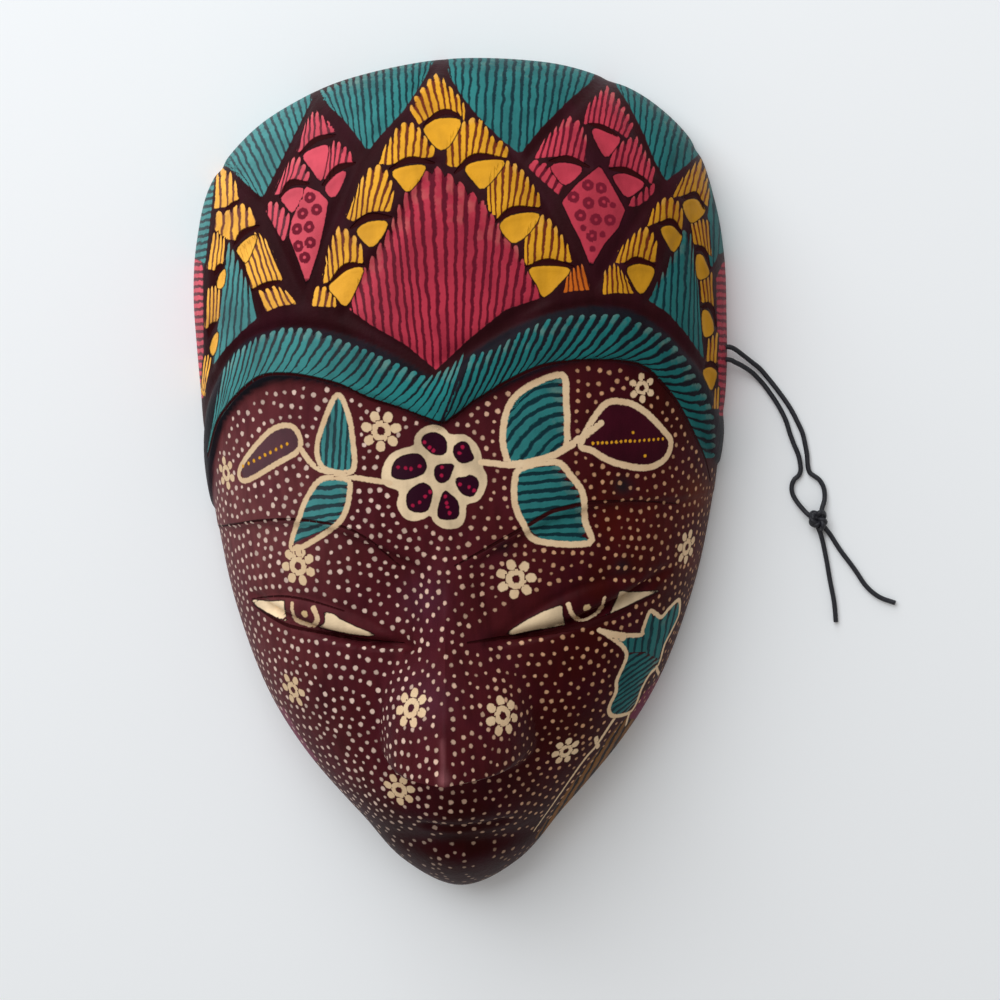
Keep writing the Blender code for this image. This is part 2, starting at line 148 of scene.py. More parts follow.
def linked(name: str, data: bpy.types.ID) -> bpy.types.Object:
    """Make an object of a mesh, curve, lamp or camera, and link it to the scene.

    Args:
        name: The object's name.
        data: What it shows.

    Returns:
        The object.
    """
    made = bpy.data.objects.new(name, data)
    bpy.context.scene.collection.objects.link(made)
    return made


def mesh_from(bm: bmesh.types.BMesh, name: str, *materials: bpy.types.Material) -> bpy.types.Mesh:
    """Turn a bmesh into a mesh with materials, and free it.

    Args:
        bm: The bmesh.
        name: The mesh's name.
        materials: Its finishes.

    Returns:
        The mesh.
    """
    mesh = bpy.data.meshes.new(name)
    bm.to_mesh(mesh)
    bm.free()
    for material in materials:
        mesh.materials.append(material)
    return mesh


def declare(piece: bpy.types.Object, slot: str, *nodes: str) -> None:
    """Say which nodes a piece stands for, and that it rides on the one body.

    Args:
        piece: The piece.
        slot: Not used.
        nodes: The solid's nodes.
    """
    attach(piece, "root")
    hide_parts(*nodes)
    log.info("%s stands for %s", piece.name, ", ".join(nodes))


def along(line: Array, part: Array) -> Array:
    """Read points at the given parts, from 0 to 1, of a line's length.

    Args:
        line: The line's points.
        part: Parts of its length.

    Returns:
        A point for each part.
    """
    steps = np.linalg.norm(np.diff(line, axis=0), axis=1)
    run = np.concatenate([[0.0], np.cumsum(steps)]) / steps.sum()
    return np.column_stack([np.interp(part, run, line[:, axis]) for axis in range(line.shape[1])])


def segment_reach(points: Array, start: Array, end: Array) -> tuple[Array, Array]:
    """Give each point's distance to a segment, and how far along it the nearest place is.

    Args:
        points: The points.
        start: The segment's start.
        end: Its end.

    Returns:
        Distances, and parts of the segment from 0 to 1.
    """
    run = end - start
    part = np.clip((points - start) @ run / max(run @ run, 1e-18), 0.0, 1.0)
    return np.linalg.norm(points - start - part[:, None] * run, axis=1), part


def inside(points: Array, corners: Array) -> Array:
    """Tell which plan points lie inside a closed outline.

    Args:
        points: Plan points.
        corners: The outline's corners.

    Returns:
        True for each point inside.
    """
    x, y = points.T
    result = np.zeros(len(points), dtype=bool)
    for (ax, ay), (bx, by) in zip(corners, np.roll(corners, -1, axis=0)):
        if ay != by:
            crosses = (ay > y) != (by > y)
            result ^= crosses & (x < (bx - ax) * (y - ay) / (by - ay) + ax)
    return result


class Dye(Enum):
    """The batik's colours, as a screen shows them, with some painted sheen and painted shade among them."""

    MAROON = (75, 27, 31)
    # painted sheen: the ground paler and greyer, as on the lit left
    PAINTED_SHEEN_MAROON = (100, 48, 51)
    # painted shade: the ground darker, as on the right, away from the light
    SHADED_RIGHT_MAROON = (56, 14, 13)
    # painted shade: the ground darker, as on the chin that faces away from the light
    SHADED_CHIN_MAROON = (48, 13, 13)
    # dark of the cuts, partly dye and partly painted shade; also used for the painted shadow lines
    CUT_DYE_AND_SHADE = (50, 15, 17)
    PLUM = (50, 20, 24)
    CELL = (46, 12, 30)
    BUD = (70, 20, 34)
    PUPIL = (204, 172, 128)
    SLATE = (28, 28, 34)
    TEAL = (49, 119, 118)
    DEEP_TEAL = (39, 118, 117)
    TEAL_INK = (22, 48, 54)
    YELLOW = (224, 158, 42)
    ORANGE = (214, 108, 36)
    YELLOW_INK = (104, 44, 26)
    PINK = (196, 64, 80)
    MAGENTA = (176, 53, 70)
    PINK_INK = (92, 22, 38)
    PINK_RING = (112, 30, 46)
    CREAM = (228, 200, 162)
    DOT = (228, 198, 182)
    # dots yellower and, as painted shade, darker towards the mask's right
    YELLOWER_SHADED_DOT = (204, 154, 116)
    OCHRE = (132, 86, 36)
    INK = (26, 10, 16)
    BERRY = (156, 30, 62)
    DARK_MAGENTA = (112, 24, 60)

    @property
    def linear(self) -> Triple:
        """Give the colour in linear light."""
        return linear(*self.value)


# ------ shader helpers


def operator(operation: str, other_first: bool = False) -> Callable[["Value", "Value | float"], "Value"]:
    """Make a method that adds a Math node.

    Args:
        operation: The node's operation.
        other_first: Whether the other value comes first.

    Returns:
        The method.
    """

    def method(self: "Value", other: "Value | float") -> "Value":
        """Add the node."""
        return self.graph.maths(operation, *((other, self) if other_first else (self, other)))

    return method


class Value:
    """A shader socket that takes part in sums."""

    __add__ = operator("ADD")
    __radd__ = operator("ADD", True)
    __sub__ = operator("SUBTRACT")
    __rsub__ = operator("SUBTRACT", True)
    __mul__ = operator("MULTIPLY")
    __rmul__ = operator("MULTIPLY", True)
    __truediv__ = operator("DIVIDE")
    least = operator("MINIMUM")
    most = operator("MAXIMUM")

    def __init__(self, graph: "Graph", socket: bpy.types.NodeSocket) -> None:
        """Wrap a socket of a graph."""
        self.graph = graph
        self.socket = socket

    def __abs__(self) -> "Value":
        """Drop the sign."""
        return self.graph.maths("ABSOLUTE", self)

    def step(self, soft: float) -> "Value":
        """Turn a signed value into a mask from 0 to 1 with an edge this soft."""
        return self.graph.maths("ADD", self / soft, 0.5, clamp=True)


class Graph:
    """A material's node tree, written as expressions."""

    def __init__(self, name: str) -> None:
        """Start a material with a Principled shader.

        Args:
            name: The material's name.
        """
        self.material = bpy.data.materials.new(name)
        self.material.use_nodes = True
        self.tree = self.material.node_tree
        self.shader = self.tree.nodes["Principled BSDF"]

    def node(
        self, kind: str, settings: dict[str, object] | None = None,
        sockets: dict[object, object] | None = None,
    ) -> bpy.types.Node:
        """Add a node.

        Args:
            kind: The node's type.
            settings: Its own settings, set first.
            sockets: Values or links, by input name or number.

        Returns:
            The node.
        """
        made = self.tree.nodes.new(kind)
        for name, setting in (settings or {}).items():
            setattr(made, name, setting)
        for name, given in (sockets or {}).items():
            self.feed(made.inputs[name], given)
        return made

    def feed(self, socket: bpy.types.NodeSocket, given: object) -> None:
        """Link a value to a socket, or set the socket to a plain number or colour.

        Args:
            socket: The input.
            given: A value, a number or a colour.
        """
        if isinstance(given, Value):
            self.tree.links.new(given.socket, socket)
        elif socket.type == "RGBA":
            socket.default_value = (*given, 1.0)
        else:
            socket.default_value = given

    def out(self, made: bpy.types.Node, output: int | str = 0) -> Value:
        """Give a node's output as a value."""
        return Value(self, made.outputs[output])

    def maths(self, operation: str, *values: "Value | float", clamp: bool = False) -> Value:
        """Add a Math node."""
        settings = {"operation": operation, "use_clamp": clamp}
        return self.out(self.node("ShaderNodeMath", settings, dict(enumerate(values))))

    def vector(self, operation: str, *values: object, output: int = 0) -> Value:
        """Add a Vector Math node."""
        made = self.node("ShaderNodeVectorMath", {"operation": operation}, dict(enumerate(values)))
        return self.out(made, output)

    def mix(self, factor: "Value | float", first: object, second: object, blend: str = "MIX") -> Value:
        """Mix two colours."""
        settings = {"data_type": "RGBA", "blend_type": blend, "clamp_factor": True}
        return self.out(self.node("ShaderNodeMix", settings, {0: factor, 6: first, 7: second}), 2)

    def attribute(self, name: str, output: str = "Fac") -> Value:
        """Read a mesh attribute."""
        return self.out(self.node("ShaderNodeAttribute", {"attribute_name": name}), output)

    def place(self) -> Value:
        """Give the place on the piece."""
        return self.out(self.node("ShaderNodeTexCoord"), "Object")

    def noise(
        self, scale: float, detail: float = 2.0, stretch: Triple = (1, 1, 1)
    ) -> Value:
        """Give a noise from about -0.5 to 0.5, at a scale in features a metre.

        Args:
            scale: Features a metre.
            detail: Octaves.
            stretch: Factors along each axis.

        Returns:
            The noise.
        """
        place = self.vector("MULTIPLY", self.place(), stretch)
        made = self.node("ShaderNodeTexNoise", None, {"Vector": place, "Scale": scale, "Detail": detail})
        return self.out(made, "Fac") - 0.5

    def finish(self, **sockets: object) -> bpy.types.Material:
        """Feed the Principled shader's sockets, by name with underscores for spaces.

        Args:
            sockets: Values or links.

        Returns:
            The material.
        """
        for name, given in sockets.items():
            self.feed(self.shader.inputs[name.replace("_", " ").title().replace("Ior", "IOR")], given)
        return self.material

    def bump(self, height: Value, distance: float, strength: float = 1.0) -> Value:
        """Turn a height into a bumped normal."""
        sockets = {"Height": height, "Distance": distance, "Strength": strength}
        return self.out(self.node("ShaderNodeBump", None, sockets))


# ------ view


@dataclass(frozen=True)
class Viewpoint:
    """The camera, which looks down on the lying mask from a little to its right and its crown."""

    lens_mm: float = 73.55
    sensor_mm: float = 36.0
    distance: float = 0.480
    lean_right: float = math.radians(7.5)
    lean_to_crown: float = math.radians(6.8)
    turn: float = math.radians(2.7)
    aim: Triple = (0.0072, -0.0050, 0.0)
    frame_pixels: float = 1000.0

    def axes(self) -> tuple[Array, Array, Array, Array]:
        """Give the view's right, up and backward directions and the eye.

        Returns:
            Three unit directions and the eye's place.
        """
        back = np.array([math.tan(self.lean_right), math.tan(self.lean_to_crown), 1.0])
        back /= np.linalg.norm(back)
        right = np.cross([math.sin(self.turn), math.cos(self.turn), 0.0], back)
        right /= np.linalg.norm(right)
        return right, np.cross(back, right), back, np.array(self.aim) + self.distance * back

    def pixels_per_unit(self) -> float:
        """Give the focal length in pixels."""
        return self.lens_mm / self.sensor_mm * self.frame_pixels

    def project(self, points: Array) -> Array:
        """Give the pixels at which points are seen, from the frame's top left corner.

        Args:
            points: Places in space.

        Returns:
            Pixels, across and down.
        """
        right, up, back, eye = self.axes()
        away = points - eye
        depth = -(away @ back)
        half = self.frame_pixels / 2
        scale = self.pixels_per_unit() / depth
        return np.column_stack([half + away @ right * scale, half - away @ up * scale])

    def ray(self, pixel: Sequence[float]) -> tuple[Vector, Vector]:
        """Give the eye and the direction of the sight line through a pixel.

        Args:
            pixel: Across and down.

        Returns:
            The eye's place and a unit direction.
        """
        right, up, back, eye = self.axes()
        half = self.frame_pixels / 2
        focal = self.pixels_per_unit()
        direction = (pixel[0] - half) / focal * right - (pixel[1] - half) / focal * up - back
        return Vector(eye), Vector(direction).normalized()

    def build(self) -> None:
        """Make the camera and set it as the scene's."""
        right, up, back, eye = self.axes()
        data = bpy.data.cameras.new("camera")
        data.lens = self.lens_mm
        data.sensor_width = self.sensor_mm
        data.clip_start = 0.01
        camera = linked("camera", data)
        camera.matrix_world = Matrix(np.column_stack([right, up, back, eye])).to_4x4()
        bpy.context.scene.camera = camera


# ------ cord


CORD_STEPS = 6
CORD_BEVEL_STEPS = 4


def smooth_tube(
    name: str, routes: Iterable[Points], radius: float, material: bpy.types.Material, closed: bool = False
) -> bpy.types.Object:
    """Make round tubes along smooth curves through points, as one mesh.

    Args:
        name: The piece's name.
        routes: Each curve's points, in metres.
        radius: The tube's radius.
        material: The tube's finish.
        closed: Whether the tube runs back into itself.

    Returns:
        The linked object.
    """
    curve = bpy.data.curves.new(name, "CURVE")
    curve.dimensions = "3D"
    curve.bevel_depth = radius
    curve.bevel_resolution = CORD_BEVEL_STEPS
    curve.use_fill_caps = True
    for route in routes:
        path = curved(route, CORD_STEPS, closed)[: -1 if closed else None]
        spline = curve.splines.new("POLY")
        spline.points.add(len(path) - 1)
        spline.use_cyclic_u = closed
        for point, place in zip(spline.points, path):
            point.co = (*place, 1.0)
    shaper = linked(name + "_line", curve)
    depsgraph = bpy.context.evaluated_depsgraph_get()
    mesh = bpy.data.meshes.new_from_object(shaper.evaluated_get(depsgraph), depsgraph=depsgraph)
    bpy.data.objects.remove(shaper)
    mesh.name = name
    mesh.materials.clear()
    mesh.materials.append(material)
    mesh.shade_smooth()
    return linked(name, mesh)


@dataclass(frozen=True)
class WaxedCordFinish:
    """Black waxed cotton, tightly braided, with a dull shine."""

    colour: Triple = linear(24, 24, 30)
    roughness: float = 0.55
    braid: float = 900.0
    lint: float = 3500.0
    braid_depth: float = 0.22 * MM

    def material(self) -> bpy.types.Material:
        """Make the finish.

        Returns:
            The material.
        """
        graph = Graph("black_waxed_cord")
        braid = graph.noise(self.braid, 1.0, (1.0, 1.0, 1.6))
        lint = graph.noise(self.lint, 3.0)
        tone = graph.mix((braid + 0.5) * 0.55, self.colour, tuple(2.6 * part for part in self.colour))
        normal = graph.bump(braid + 0.5 * lint, self.braid_depth, 0.8)
        return graph.finish(base_color=tone, roughness=self.roughness + braid * 0.2, normal=normal)


@dataclass(frozen=True)
class HangingCord:
    """The mask's black cord: threaded through two holes, run along the ground, and knotted."""

    diameter: float = 0.0011
    low: float = 0.00065
    knot_centre: Triple = (0.0810, -0.0119, 0.0018)
    knot_size: Triple = (0.0042, 0.0050, 0.0034)
    knot_turn: float = math.radians(12)
    knot_windings: Points = ((0.0, 1.0), (60.0, 0.80), (30.0, 0.55))
    upper_length: float = 0.0904
    lower_length: float = 0.0858
    upper_exit: Triple = (0.0614, 0.02895, 0.0042)
    lower_exit: Triple = (0.0614, 0.02605, 0.0042)

    def upper_route(self) -> Points:
        """Give the run from the turn in the hollow through the upper hole to the right tail's end."""
        low = self.low
        return (
            (0.04805, 0.0275, 0.0042), (0.0482, 0.0282, 0.0042), (0.0486, 0.0286, 0.0042),
            (0.0495, 0.02895, 0.0042), (0.0560, 0.02895, 0.0042), (0.0614, 0.02895, 0.0042),
            (0.0632, 0.0283, 0.0037), (0.0650, 0.0268, 0.0027), (0.0668, 0.0252, 0.0017),
            (0.0686, 0.0236, 0.0010), (0.0702, 0.0216, low), (0.0717, 0.0196, low), (0.0731, 0.0176, low),
            (0.0745, 0.0155, low), (0.0758, 0.0132, low), (0.0769, 0.0108, low), (0.0779, 0.0084, low),
            (0.0784, 0.0060, low), (0.0788, 0.0033, low), (0.0789, 0.0008, low), (0.0793, -0.0008, low),
            (0.0802, -0.0016, low), (0.0815, -0.0027, low), (0.0824, -0.0046, low),
            (0.0825, -0.0070, 0.0009), (0.0818, -0.0093, 0.0014), (0.0815, -0.0116, 0.0018),
            (0.0820, -0.0131, 0.0014), (0.0827, -0.0141, 0.0012), (0.0837, -0.0156, low),
            (0.0857, -0.0190, low), (0.0888, -0.0235, low), (0.0914, -0.0276, low),
            (0.0943, -0.0302, low), (0.0979, -0.0317, low),
        )

    def lower_route(self) -> Points:
        """Give the run from the turn in the hollow through the lower hole to the left tail's end."""
        low = self.low
        return (
            (0.04805, 0.0275, 0.0042), (0.0482, 0.0268, 0.0042), (0.0486, 0.0264, 0.0042),
            (0.0495, 0.02605, 0.0042), (0.0560, 0.02605, 0.0042), (0.0614, 0.02605, 0.0042),
            (0.0632, 0.0253, 0.0037), (0.0650, 0.0242, 0.0026), (0.0668, 0.0228, 0.0016),
            (0.0682, 0.0213, 0.0010), (0.0695, 0.0197, low), (0.0708, 0.0178, low), (0.0720, 0.0159, low),
            (0.0732, 0.0137, low), (0.0743, 0.0111, low), (0.0750, 0.0085, low), (0.0759, 0.0058, low),
            (0.0768, 0.0034, low), (0.0772, 0.0012, low), (0.0772, -0.0004, low), (0.0767, -0.0015, low),
            (0.0757, -0.0024, low), (0.0751, -0.0039, low), (0.0753, -0.0058, low),
            (0.0764, -0.0078, 0.0009), (0.0782, -0.0100, 0.0014), (0.0800, -0.0117, 0.0018),
            (0.0808, -0.0135, 0.0014), (0.0813, -0.0149, 0.0012), (0.0818, -0.0170, low),
            (0.0825, -0.0210, low), (0.0832, -0.0260, low), (0.0840, -0.0311, low), (0.0843, -0.0358, low),
        )

    def knot(self, black: bpy.types.Material) -> bpy.types.Object:
        """Tie the overhand knot that both strands share.

        Args:
            black: The cord's finish.

        Returns:
            The linked knot.
        """
        turn = np.linspace(0.0, 2 * math.pi, 24, endpoint=False)
        loop = np.column_stack([
            np.sin(turn) + 2 * np.sin(2 * turn), np.cos(turn) - 2 * np.cos(2 * turn), -np.sin(3 * turn)
        ])
        loop -= (loop.max(axis=0) + loop.min(axis=0)) / 2
        loop *= (np.array(self.knot_size) - 1.05 * self.diameter) / (loop.max(axis=0) - loop.min(axis=0))
        loops = []
        for turned, share in self.knot_windings:
            spin = np.array(Matrix.Rotation(self.knot_turn + math.radians(turned), 3, "Z"))
            loops.append(share * loop @ spin.T + self.knot_centre)
        return smooth_tube("cord_overhand_knot", loops, self.diameter / 2, black, True)

    def build(self) -> None:
        """Make the two runs and the knot, and say what they are."""
        black = WaxedCordFinish().material()
        knot = self.knot(black)
        declare(knot, "black_waxed_cord", "cord_knot")
        runs = (
            ("cord_upper_run", self.upper_route(), self.upper_length, self.upper_exit,
             ("cord_strand_upper", "cord_tail_right"), [knot]),
            ("cord_lower_run", self.lower_route(), self.lower_length, self.lower_exit,
             ("cord_strand_lower", "cord_tail_left"), []),
        )
        for name, route, length, leaves, nodes, on_it in runs:
            path = curved(route, CORD_STEPS)
            run = smooth_tube(name, [route], self.diameter / 2, black)
            declare(run, "black_waxed_cord", *nodes)
            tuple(leaves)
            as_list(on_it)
            log.info("%s is %.1f mm long", name, np.linalg.norm(np.diff(path, axis=0), axis=1).sum() / MM)


# ------ mask


@dataclass(frozen=True)
class CarvedForm:
    """The mask's carved shape, by the same sizes as its solid."""

    width: float = 0.1220
    length: float = 0.1930
    forehead: float = 0.0405
    nose_tip: float = 0.0560
    chin_swing: float = 0.0052
    line_climb: float = 0.027
    rim_wall: float = 0.0078
    front_wall: float = 0.0085
    crown_step: float = 0.0013
    crown_edge: float = 0.0008
    diadem_swell: float = 0.0009
    diadem_groove: float = 0.0007
    diadem_groove_width: float = 0.0011
    lattice_depth: float = 0.0009
    lattice_width: float = 0.0030
    brow_step: float = 0.0011
    brow_edge: float = 0.0009
    brow_fade: float = 0.0085
    eye_slit: float = 0.0030
    eye_slit_widths: Pair = (0.0013, 0.0014)
    eye_margin: float = 0.02
    eyeball_swell: float = 0.0007
    lid_crease: float = 0.0005
    crease_width: float = 0.0009
    mouth_slit: float = 0.0012
    mouth_bow: float = 0.0012
    mouth_end: float = 0.06
    brow_inner: Pair = (0.06, 0.10)
    brow_outer: Pair = (1.02, 0.20)
    straightened: float = 0.12
    wall_carving: float = 0.35
    swing_start: float = 0.25
    dome_shoulder: float = 2.7
    dome_crown: float = 2.2
    nose_bridge: float = -0.085
    nose_low: float = -0.610
    nose_foot: float = 0.905
    nose_half_width: float = 0.276
    nose_profile: float = 1.25
    wing_start: float = -0.36
    wing_reach: float = 0.14
    wing_round: float = 0.40
    under_drop: float = 0.012
    under_lift: float = 0.055
    under_soft: float = 0.030
    mouth_line: float = -0.775
    mouth_half_width: float = 0.19
    crown_corner: int = 4
    chin_corner: int = 15
    steps: int = 24
    half_outline: Points = (
        (0.000, 1.000), (0.353, 0.976), (0.582, 0.928), (0.758, 0.862), (0.906, 0.757), (0.973, 0.625),
        (0.999, 0.500), (1.000, 0.367), (0.992, 0.202), (0.978, 0.069), (0.949, -0.087),
        (0.882, -0.280), (0.770, -0.478), (0.621, -0.637), (0.393, -0.811), (0.220, -0.935), (0.000, -1.000),
    )
    dome_heights: Points = (
        (-1.00, 1.00), (-0.84, 1.06), (-0.72, 1.12), (-0.55, 1.06), (-0.30, 1.00), (0.00, 1.00),
        (0.35, 1.00), (0.62, 1.05), (0.84, 1.12), (1.00, 1.16),
    )
    face_forms: Points = (
        (0.055, 0.00, -0.885, 0.17, 0.075), (-0.060, 0.00, -0.815, 0.26, 0.035),
        (0.040, 0.00, -0.740, 0.19, 0.040), (0.024, 0.00, -0.797, 0.13, 0.022),
        (-0.040, 0.24, -0.235, 0.16, 0.110), (0.030, 0.47, -0.470, 0.20, 0.140),
    )
    nose_widths: Points = (
        (-0.70, 1.00), (-0.50, 1.00), (-0.42, 0.92), (-0.34, 0.66), (-0.22, 0.46), (-0.085, 0.34),
        (0.00, 0.30),
    )
    diadem_lower: Points = (
        (0.00, 0.166), (0.16, 0.223), (0.33, 0.265), (0.49, 0.289), (0.61, 0.287), (0.77, 0.235),
        (0.845, 0.185), (0.905, 0.107), (0.96, -0.001), (1.05, -0.191),
    )
    diadem_upper: Points = (
        (0.00, 0.270), (0.13, 0.325), (0.30, 0.379), (0.46, 0.405), (0.59, 0.407), (0.73, 0.375),
        (0.845, 0.302), (0.935, 0.209), (0.99, 0.105), (1.05, -0.021),
    )
    brow_line: Points = (
        (0.08, -0.152), (0.26, -0.095), (0.41, -0.054), (0.53, -0.040), (0.68, -0.037), (0.83, -0.048),
        (1.00, -0.072),
    )
    eye_lower: Points = (
        (0.135, -0.330), (0.30, -0.319), (0.44, -0.302), (0.58, -0.274), (0.68, -0.246), (0.765, -0.215),
    )
    eye_upper: Points = (
        (0.135, -0.330), (0.25, -0.288), (0.38, -0.242), (0.50, -0.216), (0.62, -0.206), (0.765, -0.215),
    )
    lattice: Points = (
        (0.000, 0.975, -0.262, 0.763), (-0.262, 0.763, -0.466, 0.468), (0.000, 0.975, 0.326, 0.727),
        (0.326, 0.727, 0.566, 0.454), (0.026, 0.741, -0.315, 0.430), (0.026, 0.741, 0.381, 0.430),
        (-0.315, 0.430, 0.000, 0.300), (0.381, 0.430, 0.000, 0.300), (-0.461, 0.925, -0.262, 0.763),
        (-0.461, 0.925, -0.617, 0.685), (-0.617, 0.685, -0.466, 0.468), (0.600, 0.925, 0.326, 0.727),
        (0.600, 0.925, 0.801, 0.676), (0.801, 0.676, 0.566, 0.454), (-0.905, 0.810, -0.617, 0.685),
        (0.930, 0.760, 0.801, 0.676), (-0.785, 0.621, -0.662, 0.439), (-0.785, 0.621, -0.874, 0.329),
        (0.887, 0.570, 0.749, 0.412), (0.887, 0.570, 0.927, 0.271),
    )

    def right_outline(self) -> Array:
        """Give the outline's right half, top to chin, before the jaw swings.

        Returns:
            Plan points.
        """
        knots = np.array(self.half_outline) * (self.width / 2, self.length / 2)
        ring = np.vstack([knots, (knots[1:-1] * (-1, 1))[::-1]])
        return curved(ring, self.steps, closed=True)[: (len(knots) - 1) * self.steps + 1]

    def swung(self, points: Array) -> Array:
        """Swing the jaw's plan points off the centre line, and let the crown climb.

        Args:
            points: Plan points of the even form.

        Returns:
            The moved points.
        """
        x, y = points.T
        half = self.length / 2
        down = np.clip((self.swing_start * half - y) / ((1 + self.swing_start) * half), 0.0, 1.0)
        return np.column_stack([x - self.chin_swing * down, y + self.line_climb * x * eased(y / half)])

    def reach(self, x: Array, y: Array) -> Array:
        """Give the distance from the middle to the outline in the direction of plan points.

        Args:
            x: Places across, in metres.
            y: Places up.

        Returns:
            Distances.
        """
        right = self.right_outline()
        ring = self.swung(np.vstack([right, (right * (-1, 1))[::-1]]))
        angle = np.arctan2(ring[:, 1], ring[:, 0])
        order = np.argsort(angle)
        angle, reach = angle[order], np.hypot(*ring.T)[order]
        return np.interp(np.arctan2(y, x), angle, reach, period=2 * math.pi)

    def plan(self, across: Array, up: Array) -> Array:
        """Lay places, from 0 to 1 across and up, into the outline with a straight centre line.

        Args:
            across: Places across.
            up: Places up.

        Returns:
            A plan point for each pair.
        """
        right = self.right_outline()
        corner, chin = self.crown_corner * self.steps, self.chin_corner * self.steps
        flip = np.array((-1, 1))
        top = self.swung(np.vstack([(right[: corner + 1] * flip)[::-1], right[1 : corner + 1]]))
        bottom = self.swung(np.vstack([right[chin:] * flip, right[chin:-1][::-1]]))
        side = right[corner : chin + 1][::-1]
        left_side, right_side = self.swung(side * flip), self.swung(side)

        def blended(s: Array, t: Array) -> Array:
            """Blend the four sides of the outline.

            Args:
                s: Places across.
                t: Places up.

            Returns:
                Plan points.
            """
            column, row = s[:, None], t[:, None]
            place = (1 - row) * along(bottom, s) + row * along(top, s)
            place += (1 - column) * along(left_side, t) + column * along(right_side, t)
            place -= (1 - row) * ((1 - column) * bottom[0] + column * bottom[-1])
            return place - row * ((1 - column) * top[0] + column * top[-1])

        place = blended(across, up)
        middle = blended(np.full_like(up, 0.5), up)[:, 0]
        share = eased(np.minimum(up, 1 - up) / self.straightened)
        place[:, 0] -= share * (1 - np.abs(2 * across - 1)) * middle
        return place

    def crowded(self, part: Array, half_size: float) -> Array:
        """Space grid lines evenly over the dome's rise instead of over the plan.

        Args:
            part: Places from 0 to 1.
            half_size: Half the mask's size that way.

        Returns:
            The places, closer together where the dome is steep.
        """
        share = np.linspace(0.0, 1.0, 4001)
        height = self.forehead * (1 - share**self.dome_shoulder) ** (1 / self.dome_crown)
        run = np.concatenate([[0.0], np.cumsum(np.hypot(np.diff(share) * half_size, np.diff(height)))])
        out = np.interp(np.abs(2 * part - 1), run / run[-1], share)
        return 0.5 + 0.5 * np.sign(part - 0.5) * out

    def height(self, x: Array, y: Array) -> Array:
        """Give the height of the uncarved front at plan points.

        Args:
            x: Places across, in metres.
            y: Places up.

        Returns:
            Heights over the ground.
        """
        share = np.clip(np.hypot(x, y) / self.reach(x, y), 0.0, 1.0)
        out = np.abs(x) / (self.width / 2)
        high = y / (self.length / 2)
        dome = (1 - share**self.dome_shoulder) ** (1 / self.dome_crown) * through(self.dome_heights, high)
        for swell, place_out, place_up, reach_out, reach_up in self.face_forms:
            dome += swell * bell(out - place_out, reach_out) * bell(high - place_up, reach_up)
        drop = np.clip((self.nose_bridge - high) / (self.nose_bridge - self.nose_low), 0.0, 1.0)
        rise = (self.nose_tip - self.nose_foot * self.forehead) * drop**self.nose_profile
        side = out / (self.nose_half_width * through(self.nose_widths, high))
        wing = eased((self.wing_start - high) / self.wing_reach)
        plane = np.clip(1 - side, 0.0, 1.0)
        rounded = 1 - (1 - self.wing_round) * side - self.wing_round * np.clip(side, 0.0, 1.2) ** 7
        under = self.nose_low - self.under_drop + self.under_lift * np.clip(side, 0.0, 1.0) ** 5
        section = (1 - wing) * plane + wing * np.clip(rounded, 0.0, 1.0)
        section *= eased((high - under) / self.under_soft + 0.55)
        return self.forehead * dome + rise * section

    def above(self, line: Points, x: Array, y: Array) -> Array:
        """Give the distance above a carved line, mirrored about the centre line.

        Args:
            line: The line, in parts of the half sizes.
            x: Places across, in metres.
            y: Places up.

        Returns:
            Distances, below zero under the line.
        """
        out = np.abs(x) / (self.width / 2)
        step = 0.01
        slope = (through(line, out + step) - through(line, out - step)) / (2 * step)
        slope = slope * self.length / self.width
        return (y - self.line_climb * x - through(line, out) * self.length / 2) / np.sqrt(1 + slope**2)

    def lattice_reach(self, x: Array, y: Array) -> Array:
        """Give the plan distance to the nearest line of the crown's lattice.

        Args:
            x: Places across, in metres.
            y: Places up.

        Returns:
            Distances.
        """
        half = np.array((self.width / 2, self.length / 2))
        points = np.column_stack([x, y])
        nearest = np.full(len(x), 1.0)
        for line in self.lattice:
            ends = np.array(line).reshape(2, 2) * half
            ends[:, 1] += self.line_climb * ends[:, 0]
            nearest = np.minimum(nearest, segment_reach(points, *ends)[0])
        return nearest

    def carving(self, x: Array, y: Array) -> Array:
        """Give how far the carving stands above or below the form at plan points.

        Args:
            x: Places across, in metres.
            y: Places up.

        Returns:
            Heights over the form, below zero where it is cut in.
        """
        out = np.abs(x) / (self.width / 2)
        above_face = self.above(self.diadem_lower, x, y)
        above_band = self.above(self.diadem_upper, x, y)
        band = np.clip(above_face / np.maximum(above_face - above_band, 1e-6), 0.0, 1.0)
        relief = self.crown_step * eased(above_face / self.crown_edge + 0.5)
        relief += self.diadem_swell * 4 * band * (1 - band)
        relief -= self.diadem_groove * bell(above_band, self.diadem_groove_width)
        relief -= self.lattice_depth * bell(self.lattice_reach(x, y), self.lattice_width / 2)

        below_brow = -self.above(self.brow_line, x, y)
        (inner, inner_fade), (outer, outer_fade) = self.brow_inner, self.brow_outer
        brow_ends = eased((out - inner) / inner_fade) * eased((outer - out) / outer_fade)
        brow = eased(below_brow / self.brow_edge + 0.5) * bell(np.maximum(below_brow, 0.0), self.brow_fade)
        relief -= self.brow_step * brow_ends * brow

